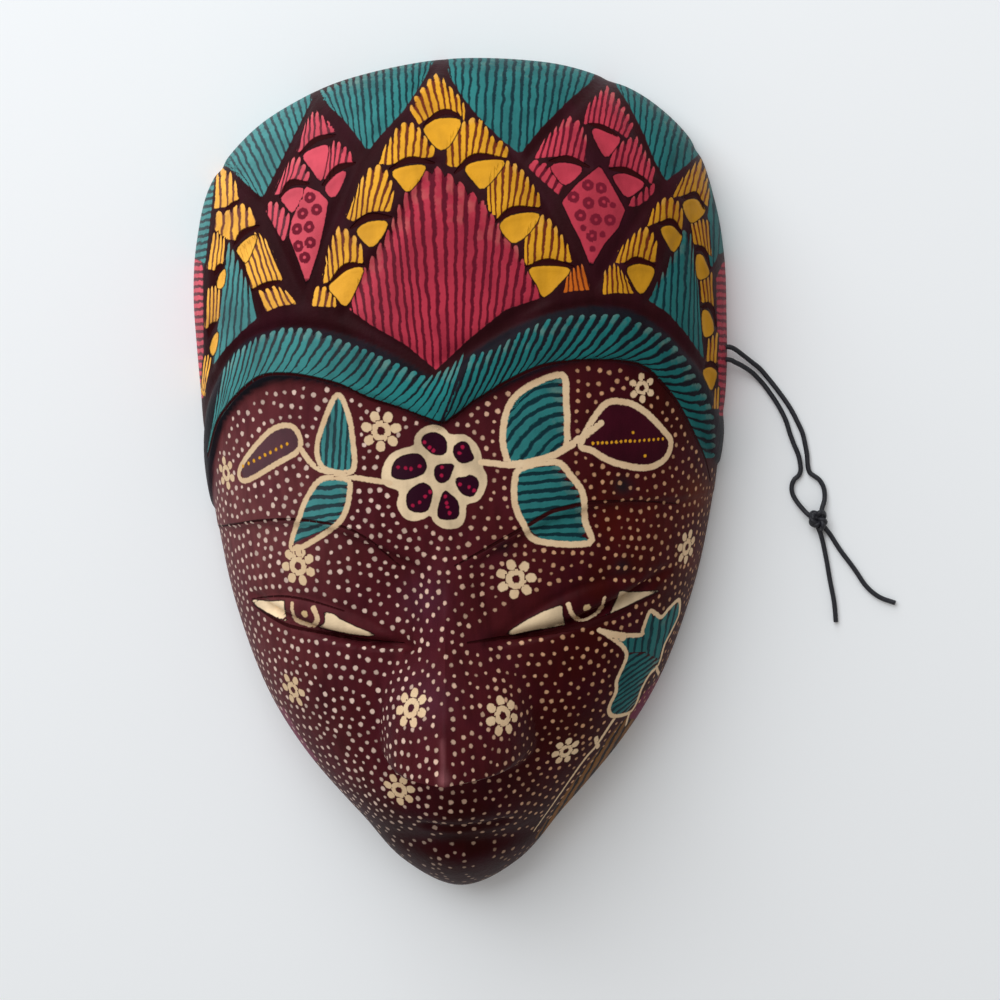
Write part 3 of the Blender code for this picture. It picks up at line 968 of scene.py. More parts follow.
        inner, outer = self.eye_lower[0][0] - self.eye_margin, self.eye_lower[-1][0] + self.eye_margin
        taper = np.clip(4 * (out - inner) * (outer - out) / (outer - inner) ** 2, 0.0, 1.0)
        above_slit = self.above(self.eye_lower, x, y)
        above_lid = self.above(self.eye_upper, x, y)
        upper_width, lower_width = self.eye_slit_widths
        slit = np.where(above_slit > 0, bell(above_slit, upper_width), eased(1 + above_slit / lower_width))
        opening = np.clip(above_slit / np.maximum(above_slit - above_lid, 1e-6), 0.0, 1.0)
        relief -= self.eye_slit * taper**0.6 * slit
        relief += self.eyeball_swell * taper * 4 * opening * (1 - opening)
        relief -= self.lid_crease * taper**0.5 * bell(above_lid, self.crease_width)

        mouth = y - self.mouth_line * self.length / 2
        mouth -= self.mouth_bow * (out / self.mouth_half_width) ** 2
        slot = eased((self.mouth_half_width - out) / self.mouth_end)
        return relief - self.mouth_slit * bell(mouth, self.crease_width) * slot

    def front(self, plan: Array) -> Array:
        """Lift plan points onto the carved front.

        Args:
            plan: Plan points.

        Returns:
            Points in space.
        """
        x, y = plan.T
        probe = 0.0002
        slope_x = (self.height(x + probe, y) - self.height(x - probe, y)) / (2 * probe)
        slope_y = (self.height(x, y + probe) - self.height(x, y - probe)) / (2 * probe)
        normal = np.column_stack([-slope_x, -slope_y, np.ones_like(x)])
        normal /= np.linalg.norm(normal, axis=1)[:, None]
        depth = self.carving(x, y) * (self.wall_carving + (1 - self.wall_carving) * normal[:, 2])
        points = np.column_stack([x, y, self.height(x, y)]) + normal * depth[:, None]
        points[:, 2] = np.maximum(points[:, 2], 0.0)
        return points

    def hollow(self, plan: Array) -> Array:
        """Move plan points to the hollow's surface behind the front.

        Args:
            plan: Plan points of the front.

        Returns:
            Points in space.
        """
        x, y = plan.T
        flat = np.maximum(np.hypot(x, y), 1e-9)
        reach = self.reach(x, y)
        share = np.clip(flat / reach, 0.0, 1.0)
        scale = share * (reach - self.rim_wall) / flat
        high = (self.forehead - self.front_wall) * (1 - share**self.dome_shoulder) ** (1 / self.dome_crown)
        return np.column_stack([x * scale, y * scale, high])


# ------ pattern shapes

PIXEL = 0.235 * MM


def tree_of(points: Sequence[Array]) -> KDTree:
    """Make a search tree of numbered points.

    Args:
        points: The points.

    Returns:
        The tree.
    """
    tree = KDTree(len(points))
    for number, point in enumerate(points):
        tree.insert(point, number)
    tree.balance()
    return tree


def polygon_reach(points: Array, corners: Array) -> Array:
    """Give each plan point's distance inside a closed outline, below zero outside.

    Args:
        points: Plan points.
        corners: The outline's corners.

    Returns:
        Signed distances.
    """
    nearest = np.full(len(points), np.inf)
    for start, end in zip(corners, np.roll(corners, -1, axis=0)):
        nearest = np.minimum(nearest, segment_reach(points, start, end)[0])
    return np.where(inside(points, corners), nearest, -nearest)


@dataclass(frozen=True)
class DyedArea:
    """An area of one dye inside an outline, in the photograph's pixels."""

    outline: Points
    dye: Dye
    gap_dye: Dye = Dye.INK
    scoop: float = 0.0
    rounded: bool = False

    def corners(self) -> Array:
        """Give the outline's corners.

        Returns:
            The corners' pixels.
        """
        if self.rounded:
            return curved(self.outline, 4, closed=True)[:-1]
        return np.array(self.outline, dtype=float)

    def tips(self, gap: Array) -> Array:
        """Give how near the strokes' tips are, from 0 to 1, for the gap between strokes."""
        return np.zeros_like(gap)

    def lay(self, pixels: Array) -> tuple[Array, Array, Array]:
        """Give distance inside, stroke phase and gap at pixels."""
        edge = polygon_reach(pixels, self.corners())
        return edge, np.full(len(pixels), 0.5), np.zeros(len(pixels))


@dataclass(frozen=True)
class HatchedArea(DyedArea):
    """An area filled with straight parallel strokes."""

    angle: float = 90.0
    pitch: float = 6.0
    gap: float = 0.4

    def lay(self, pixels: Array) -> tuple[Array, Array, Array]:
        """Give distance inside, stroke phase and gap at pixels.

        Args:
            pixels: The pixels.

        Returns:
            Three values for each pixel.
        """
        turn = math.radians(self.angle)
        across = pixels @ np.array([math.sin(turn), math.cos(turn)])
        return polygon_reach(pixels, self.corners()), across / self.pitch, np.full(len(pixels), self.gap)


@dataclass(frozen=True)
class StrokeFan(DyedArea):
    """A fan of strokes that run from a foot line to a tip line."""

    foot: Points = ()
    tip: Points = ()
    count: int = 8
    gaps: Pair = (0.10, 0.42)
    paired: bool = False
    sag: float = 0.0

    def corners(self) -> Array:
        """Give the outline's corners, or else the foot line's and the tip line's, backwards.

        Returns:
            The corners' pixels.
        """
        if self.outline:
            return super().corners()
        return np.vstack([np.array(self.foot, dtype=float), np.array(self.tip, dtype=float)[::-1]])

    def tips(self, gap: Array) -> Array:
        """Give how near the strokes' tips are, from 0 to 1, for the gap between strokes."""
        return (gap - self.gaps[0]) / (self.gaps[1] - self.gaps[0])

    def rail(self, line: Points, place: Array) -> Array:
        """Read a foot or tip line at places from 0 to 1, run on straight beyond its ends.

        Args:
            line: The foot or tip line.
            place: Places across the fan.

        Returns:
            A pixel for each place.
        """
        knots = np.array(line, dtype=float)
        held = np.clip(place, 0.0, 1.0)
        if self.paired:
            sides = (np.diff(np.array(side), axis=0) for side in (self.foot, self.tip))
            steps = sum(np.linalg.norm(side, axis=1) for side in sides)
            at = np.concatenate([[0.0], np.cumsum(steps)]) / steps.sum()
            points = np.column_stack([np.interp(held, at, knots[:, axis]) for axis in range(2)])
        else:
            points = along(knots, held)
        length = np.linalg.norm(np.diff(knots, axis=0), axis=1).sum()
        ends = np.where(place[:, None] < 0.5, knots[1] - knots[0], knots[-1] - knots[-2])
        ends = ends / np.maximum(np.linalg.norm(ends, axis=1), 1e-9)[:, None]
        return points + (place - held)[:, None] * length * ends

    def ruled(self, place: Array, part: Array) -> Array:
        """Give the pixels at places across and parts of the way from foot to tip.

        Args:
            place: Places across the fan.
            part: Parts of the way up.

        Returns:
            The pixels.
        """
        foot, tip = self.rail(self.foot, place), self.rail(self.tip, place)
        dip = 4 * self.sag * np.linalg.norm(tip - foot, axis=1) * part * (1 - part)
        return foot + part[:, None] * (tip - foot) + np.column_stack([np.zeros_like(dip), dip])

    def lay(self, pixels: Array) -> tuple[Array, Array, Array]:
        """Give distance inside, stroke phase and gap at pixels.

        Args:
            pixels: The pixels.

        Returns:
            Three values for each pixel.
        """
        grid = np.meshgrid(np.linspace(-0.05, 1.05, 111), np.linspace(-0.2, 1.2, 21))
        place, part = grid[0].ravel(), grid[1].ravel()
        samples = self.ruled(place, part)
        pick = np.concatenate([
            np.argmin(((block[:, None] - samples[None]) ** 2).sum(axis=2), axis=1)
            for block in np.array_split(pixels, max(len(pixels) // 400, 1))
        ])
        across, up = place[pick], part[pick]
        for _ in range(2):
            here = self.ruled(across, up)
            by_across = (self.ruled(across + 1e-3, up) - here) / 1e-3
            by_up = self.rail(self.tip, across) - self.rail(self.foot, across)
            by_up[:, 1] += 4 * self.sag * np.linalg.norm(by_up, axis=1) * (1 - 2 * up)
            miss = pixels - here
            turn = by_across[:, 0] * by_up[:, 1] - by_across[:, 1] * by_up[:, 0]
            turn = np.where(np.abs(turn) < 1.0, np.inf, turn)
            sideways = miss[:, 0] * by_up[:, 1] - miss[:, 1] * by_up[:, 0]
            upwards = by_across[:, 0] * miss[:, 1] - by_across[:, 1] * miss[:, 0]
            across = across + np.clip(sideways / turn, -0.02, 0.02)
            up = up + np.clip(upwards / turn, -0.1, 0.1)
        gap = self.gaps[0] + (self.gaps[1] - self.gaps[0]) * np.clip(up, 0.0, 1.0)
        return polygon_reach(pixels, self.corners()), across * self.count, gap


@dataclass(frozen=True)
class Line:
    """A drawn line in the photograph's pixels, as wide as given at its start and end."""

    points: Points
    widths: Pair = (7.0, 7.0)
    closed: bool = False

    def pixels(self) -> tuple[Array, Array]:
        """Give the smooth line and its width at each point."""
        path = curved(self.points, 5, self.closed)
        return path, np.linspace(*self.widths, len(path))


@dataclass(frozen=True)
class TaperedCut(Line):
    """A crescent cut that is widest in its middle."""

    widths: Pair = (1.5, 6.3)
    depth: float = 0.45 * MM

    def pixels(self) -> tuple[Array, Array]:
        """Give the smooth cut and its width at each point.

        Returns:
            The points and the widths.
        """
        path = curved(self.points, 5)
        swell = np.sin(np.linspace(0.0, math.pi, len(path)))
        return path, self.widths[0] + (self.widths[1] - self.widths[0]) * swell


@dataclass(frozen=True)
class Spot:
    """A round spot or, with a hole, a ring: its pixel, its diameters in metres, its dye."""

    pixel: Pair
    diameter: float
    dye: Dye
    hole: float = 0.0


@dataclass(frozen=True)
class Shade:
    """Painted light on the face's ground: a colour it turns to, from a line in the photograph onwards, that
    stands in for sheen on the lit left and for shade on the right and at the chin.
    """

    dye: Dye
    start: Pair
    direction: Pair
    reach: float

    def share(self, pixels: Array) -> Array:
        """Give how far it has set in at pixels, from 0 to 1."""
        return eased((pixels - self.start) @ np.array(self.direction) / self.reach)


@dataclass(frozen=True)
class StainAndSheen:
    """A place where the ground's colour came out otherwise: mostly stains in the dye, some painted sheen
    where a plane faces the light.
    """

    pixel: Pair
    reach: float
    strength: float
    colour: tuple[int, int, int]

    def share(self, pixels: Array) -> Array:
        """Give how strong it is at pixels, from 0 to 1."""
        return self.strength * bell(np.linalg.norm(pixels - self.pixel, axis=1), self.reach)


@dataclass(frozen=True)
class RidgePaleLine:
    """A paler pinkish line along the nose's ridge, strongest and widest at the tip."""

    start: Pair = (442.0, 742.0)
    end: Pair = (444.0, 781.0)
    tip_start: float = 765.0
    tip_reach: float = 15.0
    colour: Triple = linear(150, 92, 96)

    def share(self, pixels: Array) -> Array:
        """Give how strongly the line pales the ground at pixels, from 0 to 1.

        Args:
            pixels: The pixels.

        Returns:
            A share for each pixel.
        """
        far, _ = segment_reach(pixels, np.array(self.start), np.array(self.end))
        tip = eased((pixels[:, 1] - self.tip_start) / self.tip_reach)
        return (0.35 + 0.35 * tip) * bell(far, 2.4 + 3.0 * tip)


@dataclass(frozen=True)
class SmallFlower:
    """A waxed flower with a dark eye and round petals, drawn on the surface where a pixel falls."""

    pixel: Pair
    size: float = 1.0
    petals: int = 7
    eye: float = 1.60 * MM
    ring_width: float = 1.35 * MM
    petal_reach: Pair = (3.1 * MM, 3.5 * MM)
    petal_width: float = 2.0 * MM

    def strokes(self) -> list[tuple[float, float, float, float, float]]:
        """Give each stroke as two points on the flower's plane and a width.

        Returns:
            Two places and a width for each stroke.
        """
        found = []
        turns = np.linspace(0.0, 2 * math.pi, 13) + self.pixel[0]
        for start, end in zip(turns, turns[1:]):
            ring = [self.eye * part(turn) for turn in (start, end) for part in (math.cos, math.sin)]
            found.append((*ring, self.ring_width))
        for turn in np.linspace(0.0, 2 * math.pi, self.petals, endpoint=False) + self.pixel[1]:
            petal = [reach * part(turn) for reach in self.petal_reach for part in (math.cos, math.sin)]
            found.append((*petal, self.petal_width))
        return found


def px(*numbers: float) -> Points:
    """Pair numbers into pixels of the photograph, across and down."""
    return tuple(zip(numbers[::2], numbers[1::2]))


def fans(
    dye: Dye, gap_dye: Dye, gaps: Pair, *rows: tuple[Points, Points, int]
) -> list[StrokeFan]:
    """Make stroke fans of one dye from their foot lines, tip lines and stroke counts."""
    return [
        StrokeFan((), dye, gap_dye, foot=foot, tip=tip, count=count, gaps=gaps) for foot, tip, count in rows
    ]


def lobes(dye: Dye, *outlines: Points) -> list[DyedArea]:
    """Make scooped petals of one dye."""
    return [DyedArea(outline, dye, scoop=0.35 * MM, rounded=True) for outline in outlines]


def cuts(*lines: Points) -> list[TaperedCut]:
    """Make crescent cuts."""
    return [TaperedCut(line) for line in lines]


TEAL_FANS = fans(
    Dye.TEAL, Dye.TEAL_INK, (0.26, 0.42),
    (px(228, 166, 244, 181, 262, 197, 281, 160, 300, 122, 311, 100),
     px(205, 165, 245, 120, 296, 88, 312, 84), 16),
    (px(327, 103, 345, 120, 357, 135, 368, 150, 379, 136, 403, 110, 420, 85, 428, 70),
     px(318, 92, 345, 80, 390, 66, 425, 58, 436, 56), 16),
    (px(450, 75, 462, 95, 480, 118, 503, 140, 520, 153, 540, 128, 570, 98, 592, 80),
     px(446, 54, 490, 50, 530, 52, 570, 58, 600, 68), 18),
    (px(616, 84, 630, 105, 645, 135, 655, 160, 666, 180, 682, 168, 700, 152),
     px(610, 72, 640, 88, 672, 112, 700, 148), 13),
    (px(213, 364, 224, 349, 240, 332, 257, 317), px(226, 246, 229, 243, 236, 258, 252, 294), 6),
    (px(648, 299, 668, 312, 686, 332, 704, 358),
     px(652, 294, 668, 264, 684, 230, 690, 230, 694, 256, 699, 290), 9),
    (px(708, 262, 712, 266, 718, 254, 734, 246), px(706, 180, 712, 188, 720, 200, 734, 226), 4),
)
PINK_FANS = fans(
    Dye.PINK, Dye.PINK_INK, (0.30, 0.46),
    (px(297, 152, 300, 151, 315, 137, 336, 130),
     px(303, 130, 309, 118, 315, 110, 324, 118, 331, 125), 6),
    (px(323, 178, 330, 180, 336, 166, 354, 162), px(327, 152, 335, 140, 345, 147, 353, 156), 5),
    (px(274, 194, 281, 193, 291, 180, 309, 180),
     px(282, 176, 291, 160, 298, 156, 305, 166, 311, 177), 6),
    (px(267, 212, 276, 228, 283, 240, 287, 236), px(267, 204, 274, 201, 284, 209, 291, 217), 4),
    (px(583, 124, 590, 122, 603, 124, 617, 130, 628, 138),
     px(586, 108, 597, 95, 607, 86, 618, 98, 628, 114, 634, 128), 9),
    (px(534, 158, 550, 156, 568, 155, 585, 162),
     px(540, 146, 552, 132, 568, 116, 580, 122, 588, 142), 8),
    (px(528, 166, 540, 178, 560, 195), px(532, 159, 548, 165, 565, 184), 5),
    (px(608, 166, 627, 167, 645, 176, 652, 184),
     px(612, 150, 626, 140, 636, 136, 646, 154, 656, 172), 8),
    (px(628, 205, 636, 206, 646, 200, 655, 190), px(630, 199, 640, 194, 648, 186, 656, 183), 4),
)
# The fields at the temples that wrap round the edge, with strokes up the wall
TEMPLE_FIELDS = [
    HatchedArea(px(198, 398, 203, 398, 202, 262, 190, 258), Dye.PINK, Dye.PINK_INK, angle=4.0, pitch=7.5),
    HatchedArea(px(720, 415, 734, 415, 736, 256, 724, 262, 717, 278), Dye.PINK, Dye.PINK_INK, angle=-4.0,
                pitch=7.5),
    HatchedArea(px(190, 252, 204, 266, 214, 180, 205, 175), Dye.TEAL, Dye.TEAL_INK, angle=12.0, pitch=7.0),
]
MAGENTA_FANS = [
    StrokeFan(
        (), Dye.MAGENTA, Dye.PINK_INK, count=23, gaps=(0.30, 0.42),
        foot=px(350, 309, 371, 324, 406, 344, 436, 369, 469, 338, 505, 309, 541, 297),
        tip=px(352, 303, 355, 281, 369, 262, 379, 246, 390, 228, 398, 208, 408, 188, 424, 172,
             437, 167, 452, 176, 474, 194, 489, 206, 503, 232, 518, 248, 526, 268, 541, 293),
    ),
]
YELLOW_FANS = fans(
    Dye.YELLOW, Dye.YELLOW_INK, (0.28, 0.46),
    (px(418, 124, 425, 119, 437, 111, 448, 108, 460, 113, 465, 121),
     px(409, 112, 414, 99, 419, 92, 427, 83, 434, 74, 441, 76, 447, 85, 455, 92, 460, 97,
      466, 110), 9),
    (px(378, 164, 390, 164, 410, 157, 425, 157, 434, 156),
     px(382, 152, 390, 140, 398, 126, 408, 121, 417, 126, 426, 138, 436, 150), 8),
    (px(346, 216, 352, 221, 369, 211, 380, 210, 391, 211),
     px(352, 205, 360, 182, 368, 170, 378, 163, 386, 170, 392, 183, 394, 200), 8),
    (px(322, 283, 329, 281, 345, 264, 364, 262),
     px(325, 265, 328, 250, 335, 232, 340, 226, 350, 232, 358, 240, 364, 252), 7),
    (px(311, 305, 322, 306, 334, 306, 338, 308), px(314, 288, 322, 286, 330, 290, 337, 300), 4),
    (px(446, 164, 455, 167, 475, 154, 508, 157),
     px(446, 138, 455, 128, 467, 119, 480, 118, 493, 138, 503, 142, 510, 152), 9),
    (px(487, 207, 497, 219, 513, 207, 541, 206),
     px(486, 180, 492, 167, 503, 160, 514, 163, 524, 172, 533, 186, 541, 198), 9),
    (px(524, 258, 527, 265, 548, 259, 573, 262),
     px(524, 232, 530, 222, 544, 215, 552, 222, 562, 236, 570, 250), 7),
    (px(214, 208, 226, 206, 239, 198), px(215, 180, 221, 168, 230, 172, 238, 188), 4),
    (px(214, 228, 225, 238, 235, 240, 243, 230, 257, 223),
     px(215, 212, 227, 211, 240, 203, 254, 211), 5),
    (px(252, 288, 268, 284, 283, 279), px(238, 248, 256, 232, 268, 242), 6),
    (px(266, 311, 280, 305, 297, 303), px(256, 292, 275, 286, 290, 293), 5),
    (px(207, 268, 215, 270, 224, 262), px(212, 234, 219, 232, 226, 238), 4),
    (px(205, 328, 212, 325, 219, 318), px(207, 290, 214, 286, 221, 290), 4),
    (px(201, 392, 204, 396), px(203, 358, 208, 355, 212, 360), 3),
    (px(672, 197, 682, 195, 696, 192, 708, 206),
     px(678, 184, 690, 170, 700, 158, 706, 172, 710, 196), 7),
    (px(647, 226, 658, 221, 672, 219, 683, 230),
     px(650, 214, 658, 203, 668, 196, 678, 202, 684, 214), 6),
    (px(614, 264, 626, 261, 638, 257, 656, 262),
     px(619, 251, 630, 238, 644, 226, 652, 232, 658, 246), 7),
    (px(602, 294, 616, 292, 634, 293), px(603, 274, 614, 262, 628, 280), 6),
    (px(693, 243, 700, 244, 707, 250, 711, 256), px(690, 223, 699, 219, 709, 221), 5),
    (px(701, 302, 708, 301, 714, 306), px(699, 281, 706, 277, 713, 272), 4),
    (px(706, 361, 711, 360, 717, 363), px(707, 341, 713, 336, 719, 332), 3),
    (px(713, 408, 719, 408), px(714, 390, 720, 387), 2),
)
ORANGE_FANS = fans(
    Dye.ORANGE, Dye.YELLOW_INK, (0.28, 0.42),
    (px(563, 292, 575, 290, 590, 289), px(566, 278, 574, 268, 584, 264), 5),
)
DIADEM_PAIRS = (
    ((208, 452, 222, 372), (216, 422, 236, 352), (243, 387, 258, 337), (262, 375, 284, 328),
     (287, 372, 310, 329), (314, 376, 346, 342), (343, 384, 370, 352), (371, 397, 398, 364),
     (400, 406, 428, 378), (425, 416, 452, 366), (440, 422, 466, 352)),
    ((444, 421, 469, 356), (473, 400, 494, 350), (499, 384, 522, 332), (522, 372, 547, 320),
     (542, 364, 574, 316), (562, 361, 598, 315), (583, 359, 623, 315), (603, 359, 650, 328),
     (628, 361, 670, 339), (646, 367, 688, 362), (660, 380, 695, 376), (675, 398, 709, 402),
     (685, 415, 714, 421), (695, 435, 715, 439), (705, 458, 714, 460)),
)
DIADEM_FANS = [
    StrokeFan(
        (), Dye.DEEP_TEAL, Dye.SLATE, foot=tuple(pair[:2] for pair in half),
        tip=tuple(pair[2:] for pair in half), count=count, gaps=gaps, paired=True, sag=0.09,
    )
    for half, count, gaps in zip(DIADEM_PAIRS, (31, 32), px(0.12, 0.44, 0.24, 0.52))
]
PETALS = lobes(
    Dye.YELLOW,
    px(424, 128, 437, 119, 460, 120, 456, 135, 447, 148, 438, 149, 428, 138),
    px(392, 172, 408, 166, 425, 166, 420, 179, 408, 192, 399, 183),
    px(357, 230, 369, 222, 387, 222, 383, 235, 372, 247, 362, 240),
    px(329, 286, 346, 271, 363, 268, 357, 287, 346, 306, 336, 297),
    px(465, 168, 480, 161, 504, 161, 497, 175, 483, 189, 474, 182),
    px(500, 225, 513, 215, 539, 214, 530, 232, 515, 243, 506, 237),
    px(529, 269, 548, 266, 570, 269, 560, 283, 544, 297, 537, 285),
    px(237, 249, 248, 238, 257, 236, 252, 252, 246, 263, 240, 256),
    px(683, 204, 695, 199, 705, 209, 700, 218, 690, 222),
    px(661, 229, 672, 226, 682, 236, 674, 252, 667, 243),
    px(627, 269, 640, 264, 654, 269, 650, 283, 641, 294, 633, 284),
    px(217, 287, 219, 276, 225, 269, 225, 280, 222, 288),
    px(210, 349, 213, 338, 218, 332, 217, 346, 213, 356),
    px(696, 257, 702, 255, 707, 265, 709, 275, 698, 279),
    px(702, 313, 708, 311, 713, 322, 713, 333, 704, 336),
    px(703, 371, 711, 367, 717, 373, 712, 390, 707, 383),
) + lobes(
    Dye.PINK,
    px(303, 156, 315, 148, 328, 146, 326, 165, 321, 181, 312, 170),
    px(325, 188, 337, 174, 346, 172, 341, 187, 333, 198),
    px(281, 198, 291, 189, 304, 189, 299, 203, 292, 213, 286, 206),
    px(592, 130, 604, 130, 620, 138, 614, 150, 606, 157, 598, 146),
    px(551, 166, 566, 163, 582, 168, 576, 178, 565, 185, 557, 178),
    px(613, 176, 627, 174, 644, 183, 637, 192, 627, 197, 619, 188),
)
KITES = [
    DyedArea(px(305, 186, 319, 192, 328, 201, 325, 220, 318, 251, 307, 285, 299, 262, 289, 236,
              292, 220, 298, 206), Dye.PINK),
    DyedArea(px(600, 166, 612, 186, 625, 210, 618, 228, 604, 244, 591, 267, 580, 239, 571, 222,
              562, 202, 577, 184), Dye.PINK),
]
# Crescent cuts: carved, and darkened partly by their dye and partly by painted shade in the cut
CRESCENTS = cuts(
    px(424, 126, 437, 115, 448, 112, 460, 117), px(390, 169, 410, 160, 434, 163),
    px(351, 228, 369, 217, 391, 217), px(328, 285, 346, 267, 364, 265),
    px(455, 173, 475, 157, 506, 159), px(496, 222, 513, 210, 541, 209),
    px(527, 267, 548, 262, 574, 267), px(226, 210, 239, 201), px(235, 244, 243, 233, 259, 226),
    px(253, 290, 280, 281), px(215, 275, 219, 268, 224, 265), px(209, 337, 211, 328, 216, 322),
    px(682, 198, 696, 195, 704, 209),
    px(658, 224, 672, 222, 682, 235), px(625, 264, 637, 260, 655, 266),
    px(695, 249, 702, 249, 707, 257, 710, 268), px(701, 307, 708, 305, 713, 312, 716, 326),
    px(705, 367, 711, 364, 718, 370),
    px(300, 154, 316, 140, 335, 135), px(323, 185, 337, 169, 355, 163),
    px(280, 197, 291, 183, 309, 184), px(589, 124, 603, 128, 617, 136),
    px(550, 161, 568, 159, 589, 167), px(610, 169, 627, 171, 644, 180),
)
KITE_RINGS = [
    Spot(centre, 2.6 * MM, Dye.PINK_RING, hole=1.2 * MM)
    for centre in px(
        310, 197.5, 302.5, 213.5, 316.5, 209.5, 297, 229, 309, 227, 298.5, 246, 310, 242.5,
        304.5, 257.5, 588, 185, 601, 188, 573.5, 197, 588.5, 203, 604, 202, 580.5, 215.5,
        596, 219.5, 610, 220, 592, 236,
    )
] + [Spot(centre, 1.4 * MM, Dye.PINK_RING) for centre in px(583, 228, 602.5, 234.5, 592.5, 249, 613, 205)]
# Forehead sprig: buds, leaves, stems and the middle flower's petals, drawn in wax
LEFT_BUD = px(241, 466, 270, 431, 293, 427, 300, 448, 276, 464, 245, 481)
RIGHT_BUD = px(581, 443, 603, 406, 624, 402, 644, 411, 664, 431, 671, 443, 664, 460, 644, 468,
             613, 462, 593, 451)
UPPER_LEFT_LEAF = px(337, 395, 348, 414, 353, 443, 352, 471, 325, 469, 317, 452, 322, 427)
LOWER_LEFT_LEAF = px(346, 479, 350, 487, 346, 510, 334, 527, 300, 548, 291, 545, 300, 515,
                   308, 496, 322, 479)
UPPER_RIGHT_LEAF = px(562, 375, 566, 402, 567, 427, 562, 451, 515, 464, 505, 453, 503, 431,
                    509, 406, 526, 388)
LOWER_RIGHT_LEAF = px(522, 468, 556, 462, 571, 476, 583, 494, 585, 521, 589, 543, 538, 541,
                    524, 525, 515, 504, 515, 480)
STAR_LEAF = px(599, 630, 612, 634.5, 640, 635, 643, 629, 649.5, 612, 655.5, 613.5, 661.5, 617,
             669.5, 608, 679, 600, 679, 614, 672, 630, 664.5, 645, 658.8, 664, 650, 674,
             642, 688, 636, 704, 628.5, 713, 613, 716, 609, 708, 616, 692, 617, 680, 626, 659,
             624, 648, 611, 637)
LEFT_EYE = px(253, 600, 271, 596, 293, 597, 319, 601, 345, 611, 371, 623, 384, 634, 403, 643,
            354, 638, 317, 633, 281, 620)
RIGHT_EYE = px(470, 642, 504, 614, 541, 596, 573, 588, 617, 589, 660, 589, 627, 604, 591, 620,
             554, 631, 518, 635)
JAW_HATCH = px(622, 722, 655, 690, 645, 720, 600, 800, 548, 850, 536, 838, 562, 798)
JAW_STRIPE = px(274, 704, 284, 709, 297, 733, 317, 760, 306, 760)
FLOWER = px(415, 439, 420, 431, 432, 425.5, 443, 428.5, 450.5, 435, 464, 435.5, 473.5, 442,
          480, 453, 482, 467, 486, 476, 485, 488, 478, 500, 466, 504, 465, 515, 460, 526,
          445, 528, 435, 522, 430.5, 514.5, 422.5, 518.5, 411, 520, 402.5, 515, 397.5, 504,
          399.5, 491, 384.5, 484, 382.5, 472, 389, 457, 401.5, 449.5, 414, 446.5)
FLOWER_CELLS = [
    DyedArea(outline, Dye.CELL, rounded=True)
    for outline in (
        px(423, 437, 431, 433, 439, 434.5, 445.5, 441, 445, 453, 435, 454, 427.5, 449, 422.5, 443),
        px(454, 448.5, 456, 445, 462, 442, 467.5, 444, 470.5, 451.5, 473, 459, 462, 462.5, 455, 456),
        px(392, 471.5, 395, 462, 403.5, 456, 418, 454.5, 425.5, 463, 424.5, 471.5, 417, 476,
         405, 479, 394, 477),
        px(435, 469.5, 439, 465, 453, 465, 451, 472.5, 448.5, 479, 441.5, 482.5, 436, 478),
        px(456.5, 479, 466, 477.5, 470.5, 475.5, 476.5, 479, 478, 485, 473.5, 495, 466, 495, 459, 489),
        px(407, 500, 408.5, 492.5, 416, 486, 424.5, 483.5, 431.5, 490.5, 430.5, 501, 426.5, 510.5,
         416, 511.5, 409, 508),
        px(444.5, 491.5, 449.5, 494.5, 456, 500, 458.5, 508, 456, 518, 440, 518, 438.5, 509.5,
         441, 500),
    )
]
CELL_BERRIES = px(
    424.5, 442, 429.5, 447.5, 433.5, 450.5, 462.5, 447, 459.5, 453, 398, 467, 405.5, 468, 411, 469,
    419.5, 466, 442, 467.5, 441.5, 475.5, 460, 484.5, 469, 487, 474, 490.5, 430, 492, 425, 496.5,
    419.5, 502, 413, 505.5, 445.5, 496.5, 446.5, 503, 447.5, 507, 449.5, 513,
)
LEAF_LOOP = tuple(
    (298 + 5.5 * math.cos(turn), 552 + 5.5 * math.sin(turn))
    for turn in np.linspace(0.0, 2 * math.pi, 8, endpoint=False)
)
WAXED_LINES = [
    *(Line(line, (5.2, 5.2), True) for line in (LEFT_BUD, UPPER_LEFT_LEAF, LOWER_LEFT_LEAF)),
    *(Line(line, (6.0, 6.0), True) for line in (RIGHT_BUD, UPPER_RIGHT_LEAF, LOWER_RIGHT_LEAF)),
    Line(px(300, 448, 312, 464, 325, 471, 352, 477, 390, 483), (5.5, 5.0)),
    Line(px(481, 462, 509, 465, 526, 464, 550, 457, 571, 445, 579, 439), (5.5, 7.0)),
    Line(px(583, 437, 592, 430, 601, 423), (7.0, 6.0)),
    Line(STAR_LEAF, (4.5, 4.5), True), Line(px(599, 629.5, 612, 634, 623, 637), (3.0, 9.0)),
    Line(px(656, 667, 659, 674), (4.0, 4.0)), Line(px(629, 714, 626, 725), (4.0, 3.0)),
    Line(px(614, 719, 596, 746, 584, 760, 560, 794, 534, 831), (4.5, 2.0)),
    Line(px(596, 738, 598, 747), (5.0, 5.0)),
    Line(px(292, 603.5, 292, 609, 294, 615.5, 298.5, 621, 306.5, 624, 313.5, 625, 317, 620.5,
          316.5, 615.5, 313.5, 608.5), (4.0, 5.5)),
    Line(px(568.5, 604.5, 571, 612, 575, 617.5, 581, 620, 586.5, 619, 596, 613.5, 602, 606,
          604.5, 598), (4.5, 3.5)),
    Line(LEAF_LOOP, (4.0, 4.0), True),
]
